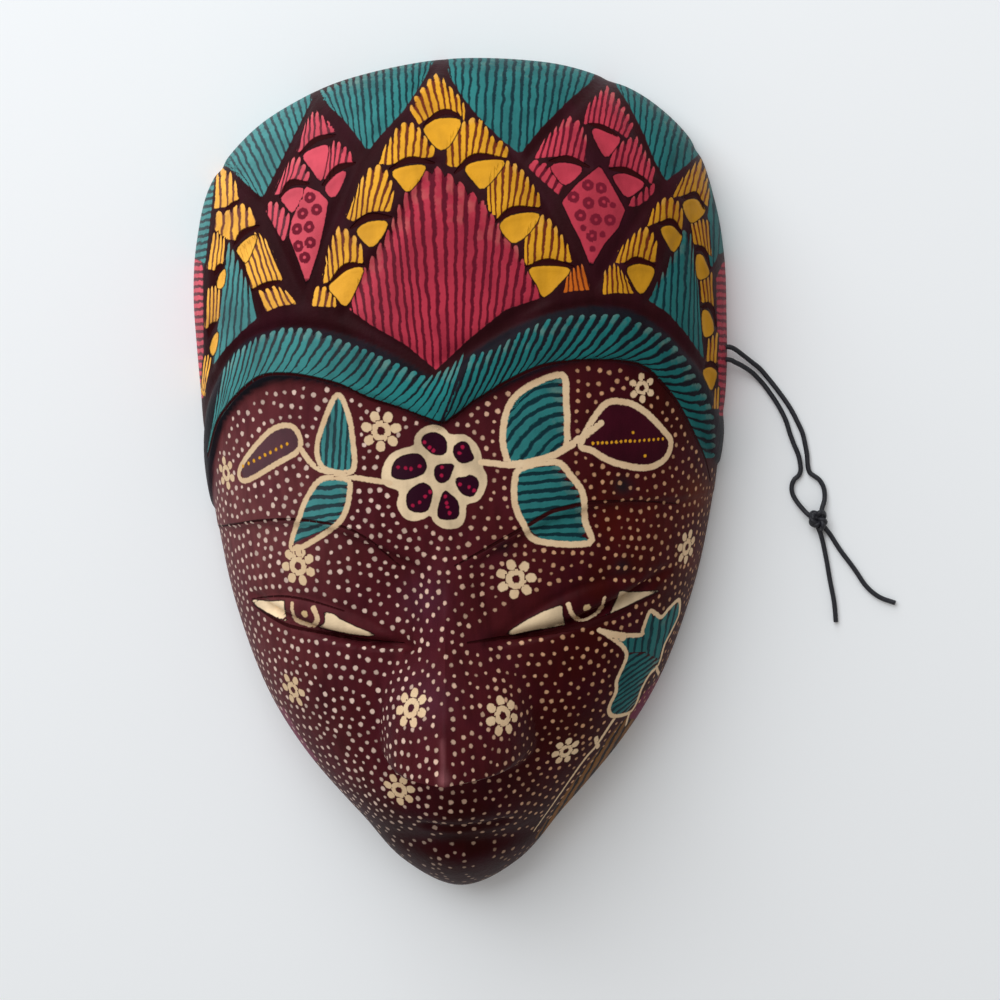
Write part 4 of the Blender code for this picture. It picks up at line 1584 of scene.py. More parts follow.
FACE_FIELDS = [
    DyedArea(FLOWER, Dye.CREAM, rounded=True),
    HatchedArea(UPPER_LEFT_LEAF, Dye.TEAL, Dye.TEAL_INK, angle=86.0, pitch=6.5),
    StrokeFan(
        (), Dye.TEAL, Dye.TEAL_INK, count=10, gaps=(0.34, 0.44), sag=-0.17,
        foot=px(558, 456, 540, 464, 527, 466, 512, 464, 504, 446, 503, 424, 512, 403, 530, 386),
        tip=px(563, 453, 566, 437, 566, 424, 566, 412, 565, 400, 564, 390, 560, 374, 543, 377),
    ),
    *fans(
        Dye.TEAL, Dye.TEAL_INK, (0.38, 0.46),
        (px(322, 479, 308, 496, 300, 515, 291, 545), px(346, 479, 350, 487, 346, 510, 334, 527), 6),
        (px(522, 467, 516, 480, 515, 493, 518, 505, 523, 517, 530, 529, 544, 541),
         px(557, 464, 571, 482, 582, 498, 584, 509, 585, 522, 586, 534, 588, 545), 9),
    ),
    StrokeFan(
        (*STAR_LEAF[:12], (658, 659), (645, 652), (631, 653), *STAR_LEAF[-2:]), Dye.TEAL, Dye.TEAL_INK,
        foot=px(608, 650, 640, 655, 658, 662, 668, 650), tip=px(606, 630, 652, 610, 664, 612, 684, 598),
        count=10, gaps=(0.30, 0.42),
    ),
    StrokeFan(
        STAR_LEAF, Dye.TEAL, Dye.TEAL_INK,
        foot=px(618, 662, 617, 680, 612, 696, 604, 712, 604, 730),
        tip=px(668, 630, 662, 646, 654, 662, 642, 684, 630, 706), count=10, gaps=(0.40, 0.50),
    ),
    DyedArea(LEFT_BUD, Dye.BUD), DyedArea(RIGHT_BUD, Dye.BUD),
    DyedArea(px(660, 677, 666, 666, 680, 632, 690, 640, 650, 720, 629, 718, 646, 692),
             Dye.DARK_MAGENTA),
    HatchedArea(JAW_HATCH, Dye.OCHRE, Dye.INK, angle=60.0, pitch=5.0),
    DyedArea(JAW_STRIPE, Dye.DARK_MAGENTA),
]
EYE_WHITES = [
    DyedArea(outline, Dye.CREAM)
    for outline in (
        px(251.5, 599.5, 269, 601.5, 284, 601, 284, 607.5, 286, 617, 289.5, 622, 278, 618,
         266, 611.5, 257, 606),
        px(324, 612, 334, 614.5, 340, 619.5, 355, 626.5, 374.5, 634.5, 368.5, 636, 349, 633.5,
         332, 630, 319, 626.5, 325, 624, 325.5, 618),
        px(507, 633, 526, 620.5, 544, 611.5, 562, 605, 562.5, 615, 564.5, 624.5, 550, 627.5,
         530, 630.5, 512, 634.5),
        px(620, 590.5, 628.5, 592.5, 658, 591, 642.5, 598, 625.5, 606.5, 606, 615.5, 612, 609.5,
         617, 599.5),
    )
]
SPOTS = [
    *KITE_RINGS,
    *(Spot((243 + 44 * part / 8, 466 - 22 * part / 8), 0.72 * MM, Dye.YELLOW) for part in range(9)),
    *(Spot((593 + 70 * part / 15, 443.5 - 4.5 * part / 15), 0.62 * MM, Dye.YELLOW) for part in range(16)),
    Spot((633, 432.5), 0.6 * MM, Dye.YELLOW), Spot((645, 456), 0.6 * MM, Dye.YELLOW),
    *(Spot(berry, 0.8 * MM, Dye.BERRY) for berry in CELL_BERRIES),
    Spot((304.5, 614), 1.65 * MM, Dye.PUPIL), Spot((587, 608), 1.8 * MM, Dye.PUPIL),
]
DIADEM_EDGE = Line(px(208, 456, 216, 425, 226, 408, 243, 389, 262, 376, 287, 374, 314, 378, 343, 386,
                    371, 399, 400, 408, 425, 418, 444, 423, 460, 413, 473, 402, 499, 386, 522, 374,
                    542, 366, 562, 362, 583, 360, 603, 360, 628, 362, 646, 368, 660, 381, 675, 399,
                    685, 416, 695, 436, 705, 459, 710, 480), (3.0, 3.0))
# Painted shadow: dark lines along the diadem's lower step, the brow creases, the eye slits and the upper lid
SHADED_LINES = [
    DIADEM_EDGE,
    TaperedCut(px(205, 529, 211, 528, 243, 523, 265, 520.5, 300, 520, 343, 527, 370, 541, 385, 553,
                400, 566), (0.8, 2.4)),
    TaperedCut(px(455, 566, 470, 558, 497, 543, 524, 528, 549, 513, 565, 508, 582, 504, 606, 502,
                637, 501, 677, 503.5), (0.8, 4.0)),
    TaperedCut(px(253, 604.5, 266, 614, 284, 624, 304, 629, 330, 634, 354, 638, 380, 641,
                404, 643), (1.0, 4.0)),
    TaperedCut(px(468, 643, 502, 638, 530, 635, 552, 632, 575, 627, 600, 621, 620, 612.5, 642, 601,
                659, 592), (1.5, 7.0)),
    TaperedCut(px(252, 599, 268, 597, 284, 596.5, 302, 599, 320, 603.5, 344, 611), (0.8, 1.8)),
]
SMALL_FLOWERS = [
    SmallFlower((381, 431)), SmallFlower((226, 473), 0.85, 6), SmallFlower((642, 388), 0.72, 6),
    SmallFlower((687, 547), 0.9), SmallFlower((298, 566)), SmallFlower((293, 690), 0.9, 6),
    SmallFlower((411, 708)), SmallFlower((399, 790), 0.9), SmallFlower((516, 579)), SmallFlower((503, 716)),
    SmallFlower((566, 751), 0.8),
]
GUIDES = [
    DIADEM_EDGE,
    Line(LEFT_EYE, (2.0, 2.0), True), Line(RIGHT_EYE, (2.0, 2.0), True), Line(FLOWER, (2.0, 2.0), True),
    Line(px(443, 715, 445, 783), (3.0, 3.0)),
]
# Painted sheen on the ground at the mask's left, and painted shade on its right and at the chin
SHADES = (
    Shade(Dye.PAINTED_SHEEN_MAROON, (390, 500), (-1.0, 0.0), 150),
    Shade(Dye.SHADED_RIGHT_MAROON, (500, 500), (1.0, 0.25), 130),
    Shade(Dye.SHADED_CHIN_MAROON, (450, 770), (0.0, 1.0), 60),
)
# Stains in the dye; the pale patch at pixel (235, 520) and the purple patches on the nose's left plane at
# (424, 600) and (424, 700) are painted sheen.
STAINS_AND_SHEEN = (
    StainAndSheen((235, 520), 80, 0.45, (124, 76, 76)), StainAndSheen((655, 520), 60, 0.35, (98, 34, 26)),
    StainAndSheen((623, 486), 9, 0.85, (22, 34, 36)), StainAndSheen((622, 566), 7, 0.7, (26, 32, 36)),
    StainAndSheen((503, 547), 7, 0.6, (28, 26, 32)), StainAndSheen((699, 495), 16, 0.5, (112, 48, 20)),
    StainAndSheen((690, 560), 13, 0.4, (104, 42, 18)), StainAndSheen((610, 520), 18, 0.35, (92, 26, 14)),
    StainAndSheen((424, 600), 24, 0.5, (84, 44, 62)), StainAndSheen((424, 700), 30, 0.5, (86, 46, 60)),
    StainAndSheen((330, 700), 30, 0.4, (52, 20, 22)),
)
# Painted light and shade: how much lighter the dyes are painted at the mask's left and darker at its right,
# by pixel
PAINTED_SIDE_LIGHT = ((200, 1.33), (390, 1.08), (560, 0.86), (740, 0.66))
CLEAR_AREAS = (LEFT_BUD, RIGHT_BUD, UPPER_LEFT_LEAF, LOWER_LEFT_LEAF, UPPER_RIGHT_LEAF, LOWER_RIGHT_LEAF,
               STAR_LEAF, LEFT_EYE, RIGHT_EYE, JAW_HATCH, JAW_STRIPE, FLOWER)


# ------ dyed mask


@dataclass(frozen=True)
class DotRule:
    """How the small waxed dots are set: in rows that follow the motifs."""

    first_row: float = 1.30 * MM
    row_pitch: float = 2.40 * MM
    spacing: float = 2.08 * MM
    row_slack: float = 0.55 * MM
    sizes: Pair = (0.72 * MM, 1.22 * MM)
    stray: float = 0.12 * MM
    edge_room: float = 1.2 * MM
    wax_room: float = 0.8 * MM
    largest_reach: float = 1.6 * MM
    # towards the right the dots are smaller and yellower, and darker as painted shade
    right_start: float = 330
    right_reach: float = 260
    right_loss: float = 0.14
    faintest: float = 0.62
    # at the chin the dots thin out and darken as painted shade
    chin_start: float = 800
    chin_reach: float = 50
    chin_thinning_and_shade: float = 0.45
    seed: int = 7

    def places(self, points: Array, reach: Array) -> Array:
        """Choose dots among surface points.

        Args:
            points: Surface points that may carry a dot.
            reach: Each point's distance to the nearest motif.

        Returns:
            The chosen points' numbers.
        """
        free = reach > self.first_row - self.row_slack
        row = np.round((reach - self.first_row) / self.row_pitch)
        off = np.abs(reach - self.first_row - row * self.row_pitch)
        chosen: list[int] = []
        for number in range(int(row[free].max()) + 1):
            in_row = free & (row == number) & (off < self.row_slack)
            here = points[np.argmax(in_row)]
            while in_row.any():
                waiting = np.flatnonzero(in_row)
                pick = waiting[np.argmin(((points[waiting] - here) ** 2).sum(axis=1))]
                here = points[pick]
                chosen.append(pick)
                crowd = ((points - here) ** 2).sum(axis=1) < self.spacing**2
                free &= ~crowd
                in_row &= free
        while free.any():
            pick = int(np.argmax(free))
            chosen.append(pick)
            free &= ((points - points[pick]) ** 2).sum(axis=1) >= self.spacing**2
        return np.array(chosen)


@dataclass
class DyeCanvas:
    """Lays the batik pattern on the mask's mesh as named attributes."""

    mesh: bpy.types.Mesh
    view: Viewpoint
    form: CarvedForm
    starts: dict[str, list[Array]] = field(default_factory=lambda: {"wax": [], "dark_cut_and_shade": []})
    ends: dict[str, list[Array]] = field(default_factory=lambda: {"wax": [], "dark_cut_and_shade": []})
    widths: dict[str, list[Pair]] = field(default_factory=lambda: {"wax": [], "dark_cut_and_shade": []})
    middle: Pair = (455.0, 470.0)
    inward_tries: int = 12
    inward_step: float = 2.0
    longest_piece: float = 12 * MM
    line_room: float = 1.2 * MM
    field_gap: float = 0.28 * MM
    field_margin: float = 9
    field_overlap: float = 1.5 * MM
    no_edge: float = -5.0
    carved_edge: float = 0.6 * MM
    # painted sheen added to the dyes at the mask's left
    painted_sheen_strength: float = 0.045
    painted_sheen_start: float = 440
    painted_sheen_reach: float = 215
    gap_painted_sheen: float = 0.75

    def __post_init__(self) -> None:
        """Read the mesh."""
        mesh = self.mesh
        self.points = np.empty(len(mesh.vertices) * 3)
        mesh.vertices.foreach_get("co", self.points)
        self.points = self.points.reshape(-1, 3)
        self.pixels = self.view.project(self.points)
        self.corner_vertex = np.empty(len(mesh.loops), dtype=int)
        mesh.loops.foreach_get("vertex_index", self.corner_vertex)
        totals = np.empty(len(mesh.polygons), dtype=int)
        mesh.polygons.foreach_get("loop_total", totals)
        self.corner_face = np.repeat(np.arange(len(totals)), totals)
        self.totals = totals
        self.centres = self.face_mean(self.points)
        slots = np.empty(len(totals), dtype=int)
        mesh.polygons.foreach_get("material_index", slots)
        self.painted = slots == 0
        painted = [tuple(face.vertices) for face, kept in zip(mesh.polygons, self.painted) if kept]
        self.surface = BVHTree.FromPolygons([tuple(point) for point in self.points], painted)

    def face_mean(self, values: Array) -> Array:
        """Average a vertex value over each face.

        Args:
            values: A number or a row for each vertex.

        Returns:
            The same for each face.
        """
        corner = values[self.corner_vertex]
        if corner.ndim == 1:
            return np.bincount(self.corner_face, corner) / self.totals
        return np.column_stack([np.bincount(self.corner_face, part) / self.totals for part in corner.T])

    def hit(self, pixel: Sequence[float]) -> tuple[Array, Array] | None:
        """Find the surface point and normal that a pixel shows.

        Args:
            pixel: Across and down.

        Returns:
            The point and its normal, or nothing.
        """
        aim = np.array(pixel, dtype=float)
        inwards = np.array(self.middle) - aim
        inwards /= max(np.linalg.norm(inwards), 1e-9)
        for _ in range(self.inward_tries):
            eye, direction = self.view.ray(aim)
            place, normal, _, _ = self.surface.ray_cast(eye, direction)
            if place is not None:
                return np.array(place), np.array(normal)
            aim = aim + self.inward_step * inwards
        return None

    def draw(self, channel: str, line: Line) -> None:
        """Draw a line on the surface.

        Args:
            channel: Wax, or the dark cuts and painted shadow lines.
            line: The line.
        """
        path, widths = line.pixels()
        found = [(self.hit(pixel), width) for pixel, width in zip(path, widths)]
        marks = [(hit[0], width * PIXEL) for hit, width in found if hit is not None]
        for (start, first), (end, last) in zip(marks, marks[1:]):
            if np.linalg.norm(end - start) < self.longest_piece:
                self.stroke(channel, start, end, first, last)

    def stroke(self, channel: str, start: Array, end: Array, first: float, last: float) -> None:
        """Note one straight piece of a line.

        Args:
            channel: Wax, or the dark cuts and painted shadow lines.
            start: Its start.
            end: Its end.
            first: Width at the start.
            last: Width at the end.
        """
        self.starts[channel].append(start)
        self.ends[channel].append(end)
        self.widths[channel].append((first / 2, last / 2))

    def bloom(self, flower: SmallFlower) -> None:
        """Draw a small flower on the surface's own plane.

        Args:
            flower: The flower.
        """
        found = self.hit(flower.pixel)
        if found is None:
            return
        place, normal = found
        right = np.cross([0.0, 1.0, 0.0], normal)
        right /= np.linalg.norm(right)
        up = np.cross(normal, right)
        for x0, y0, x1, y1, width in flower.strokes():
            start = place + flower.size * (x0 * right + y0 * up)
            end = place + flower.size * (x1 * right + y1 * up)
            self.stroke("wax", start, end, width * flower.size, width * flower.size)

    def store(self, name: str, kind: str, domain: str, values: Array) -> None:
        """Write an attribute.

        Args:
            name: Its name.
            kind: Its type.
            domain: What it lies on.
            values: Its values.
        """
        attribute = self.mesh.attributes.new(name, kind, domain)
        key = {"FLOAT": "value", "FLOAT_VECTOR": "vector", "FLOAT_COLOR": "color"}[kind]
        attribute.data.foreach_set(key, np.ascontiguousarray(values, dtype=np.float32).ravel())

    def store_lines(self, channel: str) -> None:
        """Give each face its nearest piece of line.

        Args:
            channel: Wax, or the dark cuts and painted shadow lines.
        """
        starts, ends = np.array(self.starts[channel]), np.array(self.ends[channel])
        widths = np.array(self.widths[channel])
        nearest = np.full(len(self.centres), self.line_room)
        pick = np.full(len(self.centres), -1)
        for number, (start, end, width) in enumerate(zip(starts, ends, widths)):
            reach = np.linalg.norm(end - start) / 2 + width.max() + self.line_room
            near = np.flatnonzero(np.abs(self.centres - (start + end) / 2).max(axis=1) < reach)
            away, part = segment_reach(self.centres[near], start, end)
            away -= width[0] + (width[1] - width[0]) * part
            closer = away < nearest[near]
            nearest[near[closer]] = away[closer]
            pick[near[closer]] = number
        none = (pick < 0) | ~self.painted
        far = np.array([[1.0, 1.0, 1.0]])
        for name, empty, given in (
            ("_start", far, starts[pick]), ("_end", far + 0.01, ends[pick]),
            ("_width", 0.0, np.column_stack([widths[pick], np.zeros(len(pick))])),
        ):
            self.store(channel + name, "FLOAT_VECTOR", "FACE", np.where(none[:, None], empty, given))

    def claims(self, areas: Iterable[DyedArea], gap: float) -> Iterable[tuple]:
        """Go through areas and find the face corners that each wins.

        Args:
            areas: The areas, the topmost first.
            gap: Width of the bare ground between two areas.

        Returns:
            Each area with its corners, their distance inside in millimetres, stroke phase and stroke gap.
        """
        best = np.full(len(self.centres), -self.field_overlap)
        taken = np.full(len(self.points), -1.0)
        for area in areas:
            outline = area.corners()
            low, high = outline.min(axis=0) - self.field_margin, outline.max(axis=0) + self.field_margin
            near = np.flatnonzero(((self.pixels > low) & (self.pixels < high)).all(axis=1))
            if not len(near):
                continue
            whole, waves, gaps = area.lay(self.pixels[near])
            reach = np.minimum(whole * PIXEL, -taken[near] - gap)
            taken[near] = np.maximum(taken[near], whole * PIXEL)
            lookup = np.full(len(self.points), -1)
            lookup[near] = np.arange(len(near))
            spread = np.full(len(self.points), -0.01)
            spread[near] = reach
            faces = self.face_mean(spread)
            known = self.face_mean((lookup >= 0).astype(float)) > 0.999
            better = known & (faces > best) & self.painted
            best[better] = faces[better]
            chosen = better[self.corner_face]
            rows = lookup[self.corner_vertex[chosen]]
            yield area, chosen, reach[rows] / MM, waves[rows], gaps[rows]

    def dyed(self, dye: Dye, chosen: Array) -> Array:
        """Give a dye at face corners with painted light: lighter with painted sheen to the left, darker with
        painted shade to the right.

        Args:
            dye: The dye.
            chosen: True for each corner that it colours.

        Returns:
            Colours.
        """
        across = self.pixels[self.corner_vertex[chosen], 0]
        # painted light and shade: dyes lighter at the mask's left, darker at its right
        pale = through(PAINTED_SIDE_LIGHT, across)[:, None]
        return np.column_stack([np.array(dye.linear) * pale + self.painted_sheen(chosen), np.ones(len(across))])

    def painted_sheen(self, chosen: Array) -> Array:
        """Give the painted sheen added to the dyes at the mask's left, at face corners."""
        across = self.pixels[self.corner_vertex[chosen], 0]
        return self.painted_sheen_strength * eased((self.painted_sheen_start - across) / self.painted_sheen_reach)[:, None]

    def lay_fields(self, areas: Iterable[DyedArea], ground: Array) -> None:
        """Give every face corner the stroked field it belongs to, its strokes and its dyes, with painted
        sheen at the left and painted shade at the right.

        Args:
            areas: The fields, the topmost first.
            ground: The ground's colours.
        """
        corners = len(self.corner_vertex)
        edge, phase = np.full(corners, self.no_edge), np.full(corners, 0.5)
        gap, tips = np.zeros(corners), np.zeros(corners)
        dye, gap_dye = np.zeros((corners, 4)), np.zeros((corners, 4))
        for area, chosen, reach, waves, gaps in self.claims(areas, self.field_gap):
            edge[chosen], phase[chosen], gap[chosen] = reach, waves, gaps
            tips[chosen] = area.tips(gaps)
            dye[chosen] = self.dyed(area.dye, chosen)
            gap_dye[chosen] = 1.0
            # the gaps' dye with painted sheen at the mask's left
            gap_dye[chosen, :3] = np.array(area.gap_dye.linear) + self.gap_painted_sheen * self.painted_sheen(chosen)
        self.store("field_edge", "FLOAT", "CORNER", edge)
        self.store("stroke_phase", "FLOAT", "CORNER", phase)
        self.store("stroke_gap", "FLOAT", "CORNER", gap)
        self.store("stroke_tip", "FLOAT", "CORNER", tips)
        # the stroke, gap and ground colours carry painted sheen and painted shade
        self.store("stroke_dye_and_painted_light", "FLOAT_COLOR", "CORNER", dye)
        self.store("gap_dye", "FLOAT_COLOR", "CORNER", gap_dye)
        self.store("ground_dye_and_painted_light", "FLOAT_COLOR", "POINT", np.column_stack([ground, np.ones(len(ground))]))

    def lay_patches(self, areas: Iterable[DyedArea]) -> None:
        """Give every face corner the plain patch over the fields that it belongs to, and its dye with painted
        sheen at the left and painted shade at the right.

        Args:
            areas: The patches, the topmost first.
        """
        edge = np.full(len(self.corner_vertex), self.no_edge)
        dye = np.zeros((len(self.corner_vertex), 4))
        for area, chosen, reach, _, _ in self.claims(areas, 0.0):
            edge[chosen] = reach
            dye[chosen] = self.dyed(area.dye, chosen)
        self.store("patch_edge", "FLOAT", "CORNER", edge)
        self.store("patch_dye_and_painted_light", "FLOAT_COLOR", "CORNER", dye)

    def ground(self) -> Array:
        """Give each vertex the ground's colour under the pattern: its dyes and stains, painted sheen at the
        left, painted shade at the right and at the chin, and a pale line along the nose's ridge.

        Returns:
            A linear colour for each vertex.
        """
        x, y = self.points[:, 0], self.points[:, 1]
        above_face = self.form.above(self.form.diadem_lower, x, y)
        above_band = self.form.above(self.form.diadem_upper, x, y)
        face = np.tile(Dye.MAROON.linear, (len(self.pixels), 1))
        # painted sheen at the mask's left, painted shade at its right and at the chin
        for shade in SHADES:
            face += shade.share(self.pixels)[:, None] * (np.array(shade.dye.linear) - face)
        # stains in the dye, and patches of painted sheen where a plane faces the light
        for stain_and_sheen in STAINS_AND_SHEEN:
            face += stain_and_sheen.share(self.pixels)[:, None] * (np.array(linear(*stain_and_sheen.colour)) - face)
        slate, plum = np.array(Dye.SLATE.linear), np.array(Dye.PLUM.linear)
        on_diadem = eased(above_face / self.carved_edge + 0.5)[:, None]
        on_crown = eased(above_band / self.carved_edge + 0.5)[:, None]
        colour = face * (1 - on_diadem) + slate * on_diadem
        colour = colour * (1 - on_crown) + plum * on_crown
        ridge_line = RidgePaleLine()
        ridge_paling = ridge_line.share(self.pixels)[:, None]
        return colour * (1 - ridge_paling) + np.array(ridge_line.colour) * ridge_paling

    def motif_marks(self) -> KDTree:
        """Give points along the waxed lines and the motifs' outlines, which the rows of dots follow.

        Returns:
            The points, ready to be searched.
        """
        marks = [np.linspace(start, end, 6) for start, end in zip(self.starts["wax"], self.ends["wax"])]
        marks = list(np.vstack(marks))
        for guide in GUIDES:
            line = curved(guide.points, 12, guide.closed)
            marks += [found[0] for found in map(self.hit, line) if found]
        return tree_of(marks)

    def open_ground(self, rule: DotRule) -> Array:
        """Give the numbers of the vertices, on the face's bare ground, that may carry a dot.

        Args:
            rule: How the dots are set.

        Returns:
            The vertices' numbers.
        """
        x, y, z = self.points.T
        free = np.zeros(len(self.points), dtype=bool)
        free[self.corner_vertex[self.painted[self.corner_face]]] = True
        free &= (self.form.above(self.form.diadem_lower, x, y) < -rule.edge_room) & (z > rule.edge_room)
        for outline in CLEAR_AREAS:
            free &= polygon_reach(self.pixels, np.array(outline, dtype=float)) < 1.0
        return np.flatnonzero(free)

    def lay_dots(self, rule: DotRule, spots: Iterable[Spot]) -> int:
        """Set the waxed dots over the face, add single spots, and give each face its nearest one.

        Args:
            rule: How they are set.
            spots: The single spots.

        Returns:
            How many dots there are.
        """
        places, tree = self.open_ground(rule), self.motif_marks()
        reach = np.array([tree.find(point)[2] for point in self.points[places]]) - rule.wax_room
        chosen = places[rule.places(self.points[places], reach)]
        random = np.random.default_rng(rule.seed)
        across, down = self.pixels[chosen].T
        # towards the right: smaller, yellower dots, darker as painted shade; at the chin: fewer dots, darker
        # as painted shade
        right = eased((across - rule.right_start) / rule.right_reach)[:, None]
        low = rule.chin_thinning_and_shade * eased((down - rule.chin_start) / rule.chin_reach)
        sizes = random.uniform(*rule.sizes, len(chosen)) * (1 - rule.right_loss * right[:, 0])
        dyes = np.array(Dye.DOT.linear) * (1 - right) + np.array(Dye.YELLOWER_SHADED_DOT.linear) * right
        dyes = dyes * random.uniform(rule.faintest, 1.0, (len(chosen), 1)) * (1 - low[:, None])
        kept = random.uniform(0.0, 1.0, len(chosen)) > low
        chosen, sizes, dyes = chosen[kept], list(sizes[kept]), list(dyes[kept])
        centres = list(self.points[chosen] + random.normal(0.0, rule.stray, (len(chosen), 3)))
        holes = [0.0] * len(chosen)
        for spot in spots:
            found = self.hit(spot.pixel)
            if found:
                centres.append(found[0])
                sizes.append(spot.diameter)
                dyes.append(np.array(spot.dye.linear))
                holes.append(spot.hole)
        near = tree_of(centres)
        nearest = np.array([near.find(centre)[1:] for centre in self.centres])
        pick = nearest[:, 0].astype(int)
        owned = self.painted & (nearest[:, 1] < rule.largest_reach)
        size = np.where(owned, np.array(sizes)[pick] / 2, 0.0)
        self.store("dot_centre", "FLOAT_VECTOR", "FACE", np.array(centres)[pick])
        self.store("dot_size", "FLOAT", "FACE", size)
        self.store("dot_hole", "FLOAT", "FACE", np.array(holes)[pick] / 2)
        dye = np.column_stack([np.array(dyes)[pick], np.ones(len(pick))])
        self.store("dot_dye_and_shade", "FLOAT_COLOR", "FACE", dye)
        return len(chosen)


@dataclass(frozen=True)
class BatikWood:
    """Light wood dyed by the wax method, with a faint satin sheen."""

    edge: float = 0.24
    patch_rim: float = 0.24
    stroke_edge: float = 0.26
    line_edge: float = 0.24 * MM
    dot_edge: float = 0.26 * MM
    roughness: float = 0.50
    sheen: float = 0.05
    field_seep: float = 0.30
    cut_seep: float = 0.12 * MM
    wax_seep: float = 0.45 * MM
    dot_seep: float = 0.55 * MM
    cut_depth: float = 0.8
    gap_depth: float = 0.45
    relief: float = 0.4 * MM
    seep: float = 1400.0
    waver: float = 330.0
    cloud: float = 90.0
    streak: float = 420.0
    purple_mottle_and_sheen: Triple = linear(74, 26, 48)
    streak_dye: Triple = linear(26, 6, 9)
    old_wax: Triple = linear(190, 142, 100)

    @staticmethod
    def line_cover(graph: Graph, channel: str) -> Value:
        """Give the signed distance inside the nearest line of a channel, in metres.

        Args:
            graph: The material's nodes.
            channel: Wax, or the dark cuts and painted shadow lines.

        Returns:
            The distance.
        """
        place = graph.place()
        start = graph.attribute(channel + "_start", "Vector")
        run = graph.vector("SUBTRACT", graph.attribute(channel + "_end", "Vector"), start)
        away = graph.vector("SUBTRACT", place, start)
        long = graph.vector("DOT_PRODUCT", run, run, output=1).most(1e-12)
        part = graph.maths("ADD", graph.vector("DOT_PRODUCT", away, run, output=1) / long, 0.0, clamp=True)
        scaled = graph.node("ShaderNodeVectorMath", {"operation": "SCALE"}, {0: run, "Scale": part})
        gap = graph.vector("SUBTRACT", away, graph.out(scaled))
        far = graph.vector("LENGTH", gap, output=1)
        width = graph.attribute(channel + "_width", "Vector")
        width = graph.node("ShaderNodeSeparateXYZ", None, {0: width})
        first, last = graph.out(width, 0), graph.out(width, 1)
        return first + (last - first) * part - far

    def material(self) -> bpy.types.Material:
        """Make the finish.

        Returns:
            The material.
        """
        graph = Graph("batik_dyed_wood")
        seep = graph.noise(self.seep, 3.0)
        waver = graph.noise(self.waver, 2.0)
        cloud = graph.noise(self.cloud, 3.0)
        streak = graph.noise(self.streak, 2.0, (1.0, 0.25, 1.0))
        ground = graph.attribute("ground_dye_and_painted_light", "Color")
        # purple clouds on the ground: mottling in the dye, partly painted sheen
        ground = graph.mix((cloud * 1.8 + 0.1) * 0.4, ground, self.purple_mottle_and_sheen)
        ground = graph.mix((streak + 0.12) * 0.9, ground, self.streak_dye)

        phase = graph.attribute("stroke_phase") + waver * 0.55 + seep * 0.10
        wave = abs(graph.maths("FRACT", phase) * 2.0 - 1.0)
        gap = graph.attribute("stroke_gap") + streak * 0.30
        tip = graph.attribute("stroke_tip")
        edge = graph.attribute("field_edge") + 0.20 + seep * self.field_seep
        edge = edge - wave * wave * (tip * 1.3 + 0.15)
        in_field = edge.step(self.edge)
        stroke = (1.0 - gap - wave + seep * 0.25).step(self.stroke_edge)
        # stroke and gap colours carry painted sheen and painted shade from side to side
        plain, between = graph.attribute("stroke_dye_and_painted_light", "Color"), graph.attribute("gap_dye", "Color")
        dye = graph.mix((cloud * 2.2 + streak + 0.22) * 0.9, plain, graph.mix(0.6, plain, between))
        dye = graph.mix((tip - 0.80 + waver) * 0.9, dye, graph.mix(0.38, plain, Dye.CREAM.linear))
        field_dye = graph.mix(stroke, between, dye)
        colour = graph.mix(in_field, ground, field_dye)
        patch_edge = graph.attribute("patch_edge") + seep * self.field_seep
        colour = graph.mix((patch_edge + self.patch_rim).step(self.edge), colour, Dye.INK.linear)
        patch = graph.attribute("patch_dye_and_painted_light", "Color")
        patch = graph.mix((cloud * 2.0 + streak + 0.20) * 0.8, patch, graph.mix(0.5, patch, Dye.INK.linear))
        colour = graph.mix(patch_edge.step(self.edge), colour, patch)

        # dark of the crescent cuts, partly dye and partly painted shade, and painted shadow lines at the
        # diadem's step, brow creases, eye slits and upper lid
        cut = (self.line_cover(graph, "dark_cut_and_shade") + seep * self.cut_seep).step(self.line_edge)
        colour = graph.mix(cut, colour, Dye.CUT_DYE_AND_SHADE.linear)
        wax = (self.line_cover(graph, "wax") + seep * self.wax_seep).step(self.line_edge)
        cream = graph.mix((cloud + waver + 0.5) * 0.5, Dye.CREAM.linear, self.old_wax)
        colour = graph.mix(wax, colour, cream)

        away = graph.vector("SUBTRACT", graph.place(), graph.attribute("dot_centre", "Vector"))
        far = graph.vector("LENGTH", away, output=1)
        cover = (graph.attribute("dot_size") - far).least(far - graph.attribute("dot_hole") + self.dot_edge)
        dot = (cover + seep * self.dot_seep).step(self.dot_edge)
        # dot colours carry painted shade to the right and at the chin
        colour = graph.mix(dot, colour, graph.attribute("dot_dye_and_shade", "Color"))

        height = streak * 0.35 + seep * 0.15 - cut * (1.0 - wax) * self.cut_depth
        height = height - in_field * (1.0 - stroke) * (1.0 - wax) * self.gap_depth
        normal = graph.bump(height, self.relief, 0.9)
        roughness = self.roughness + seep * 0.15 + cut * 0.15
        return graph.finish(
            base_color=colour, roughness=roughness, specular_ior_level=self.sheen, normal=normal
        )


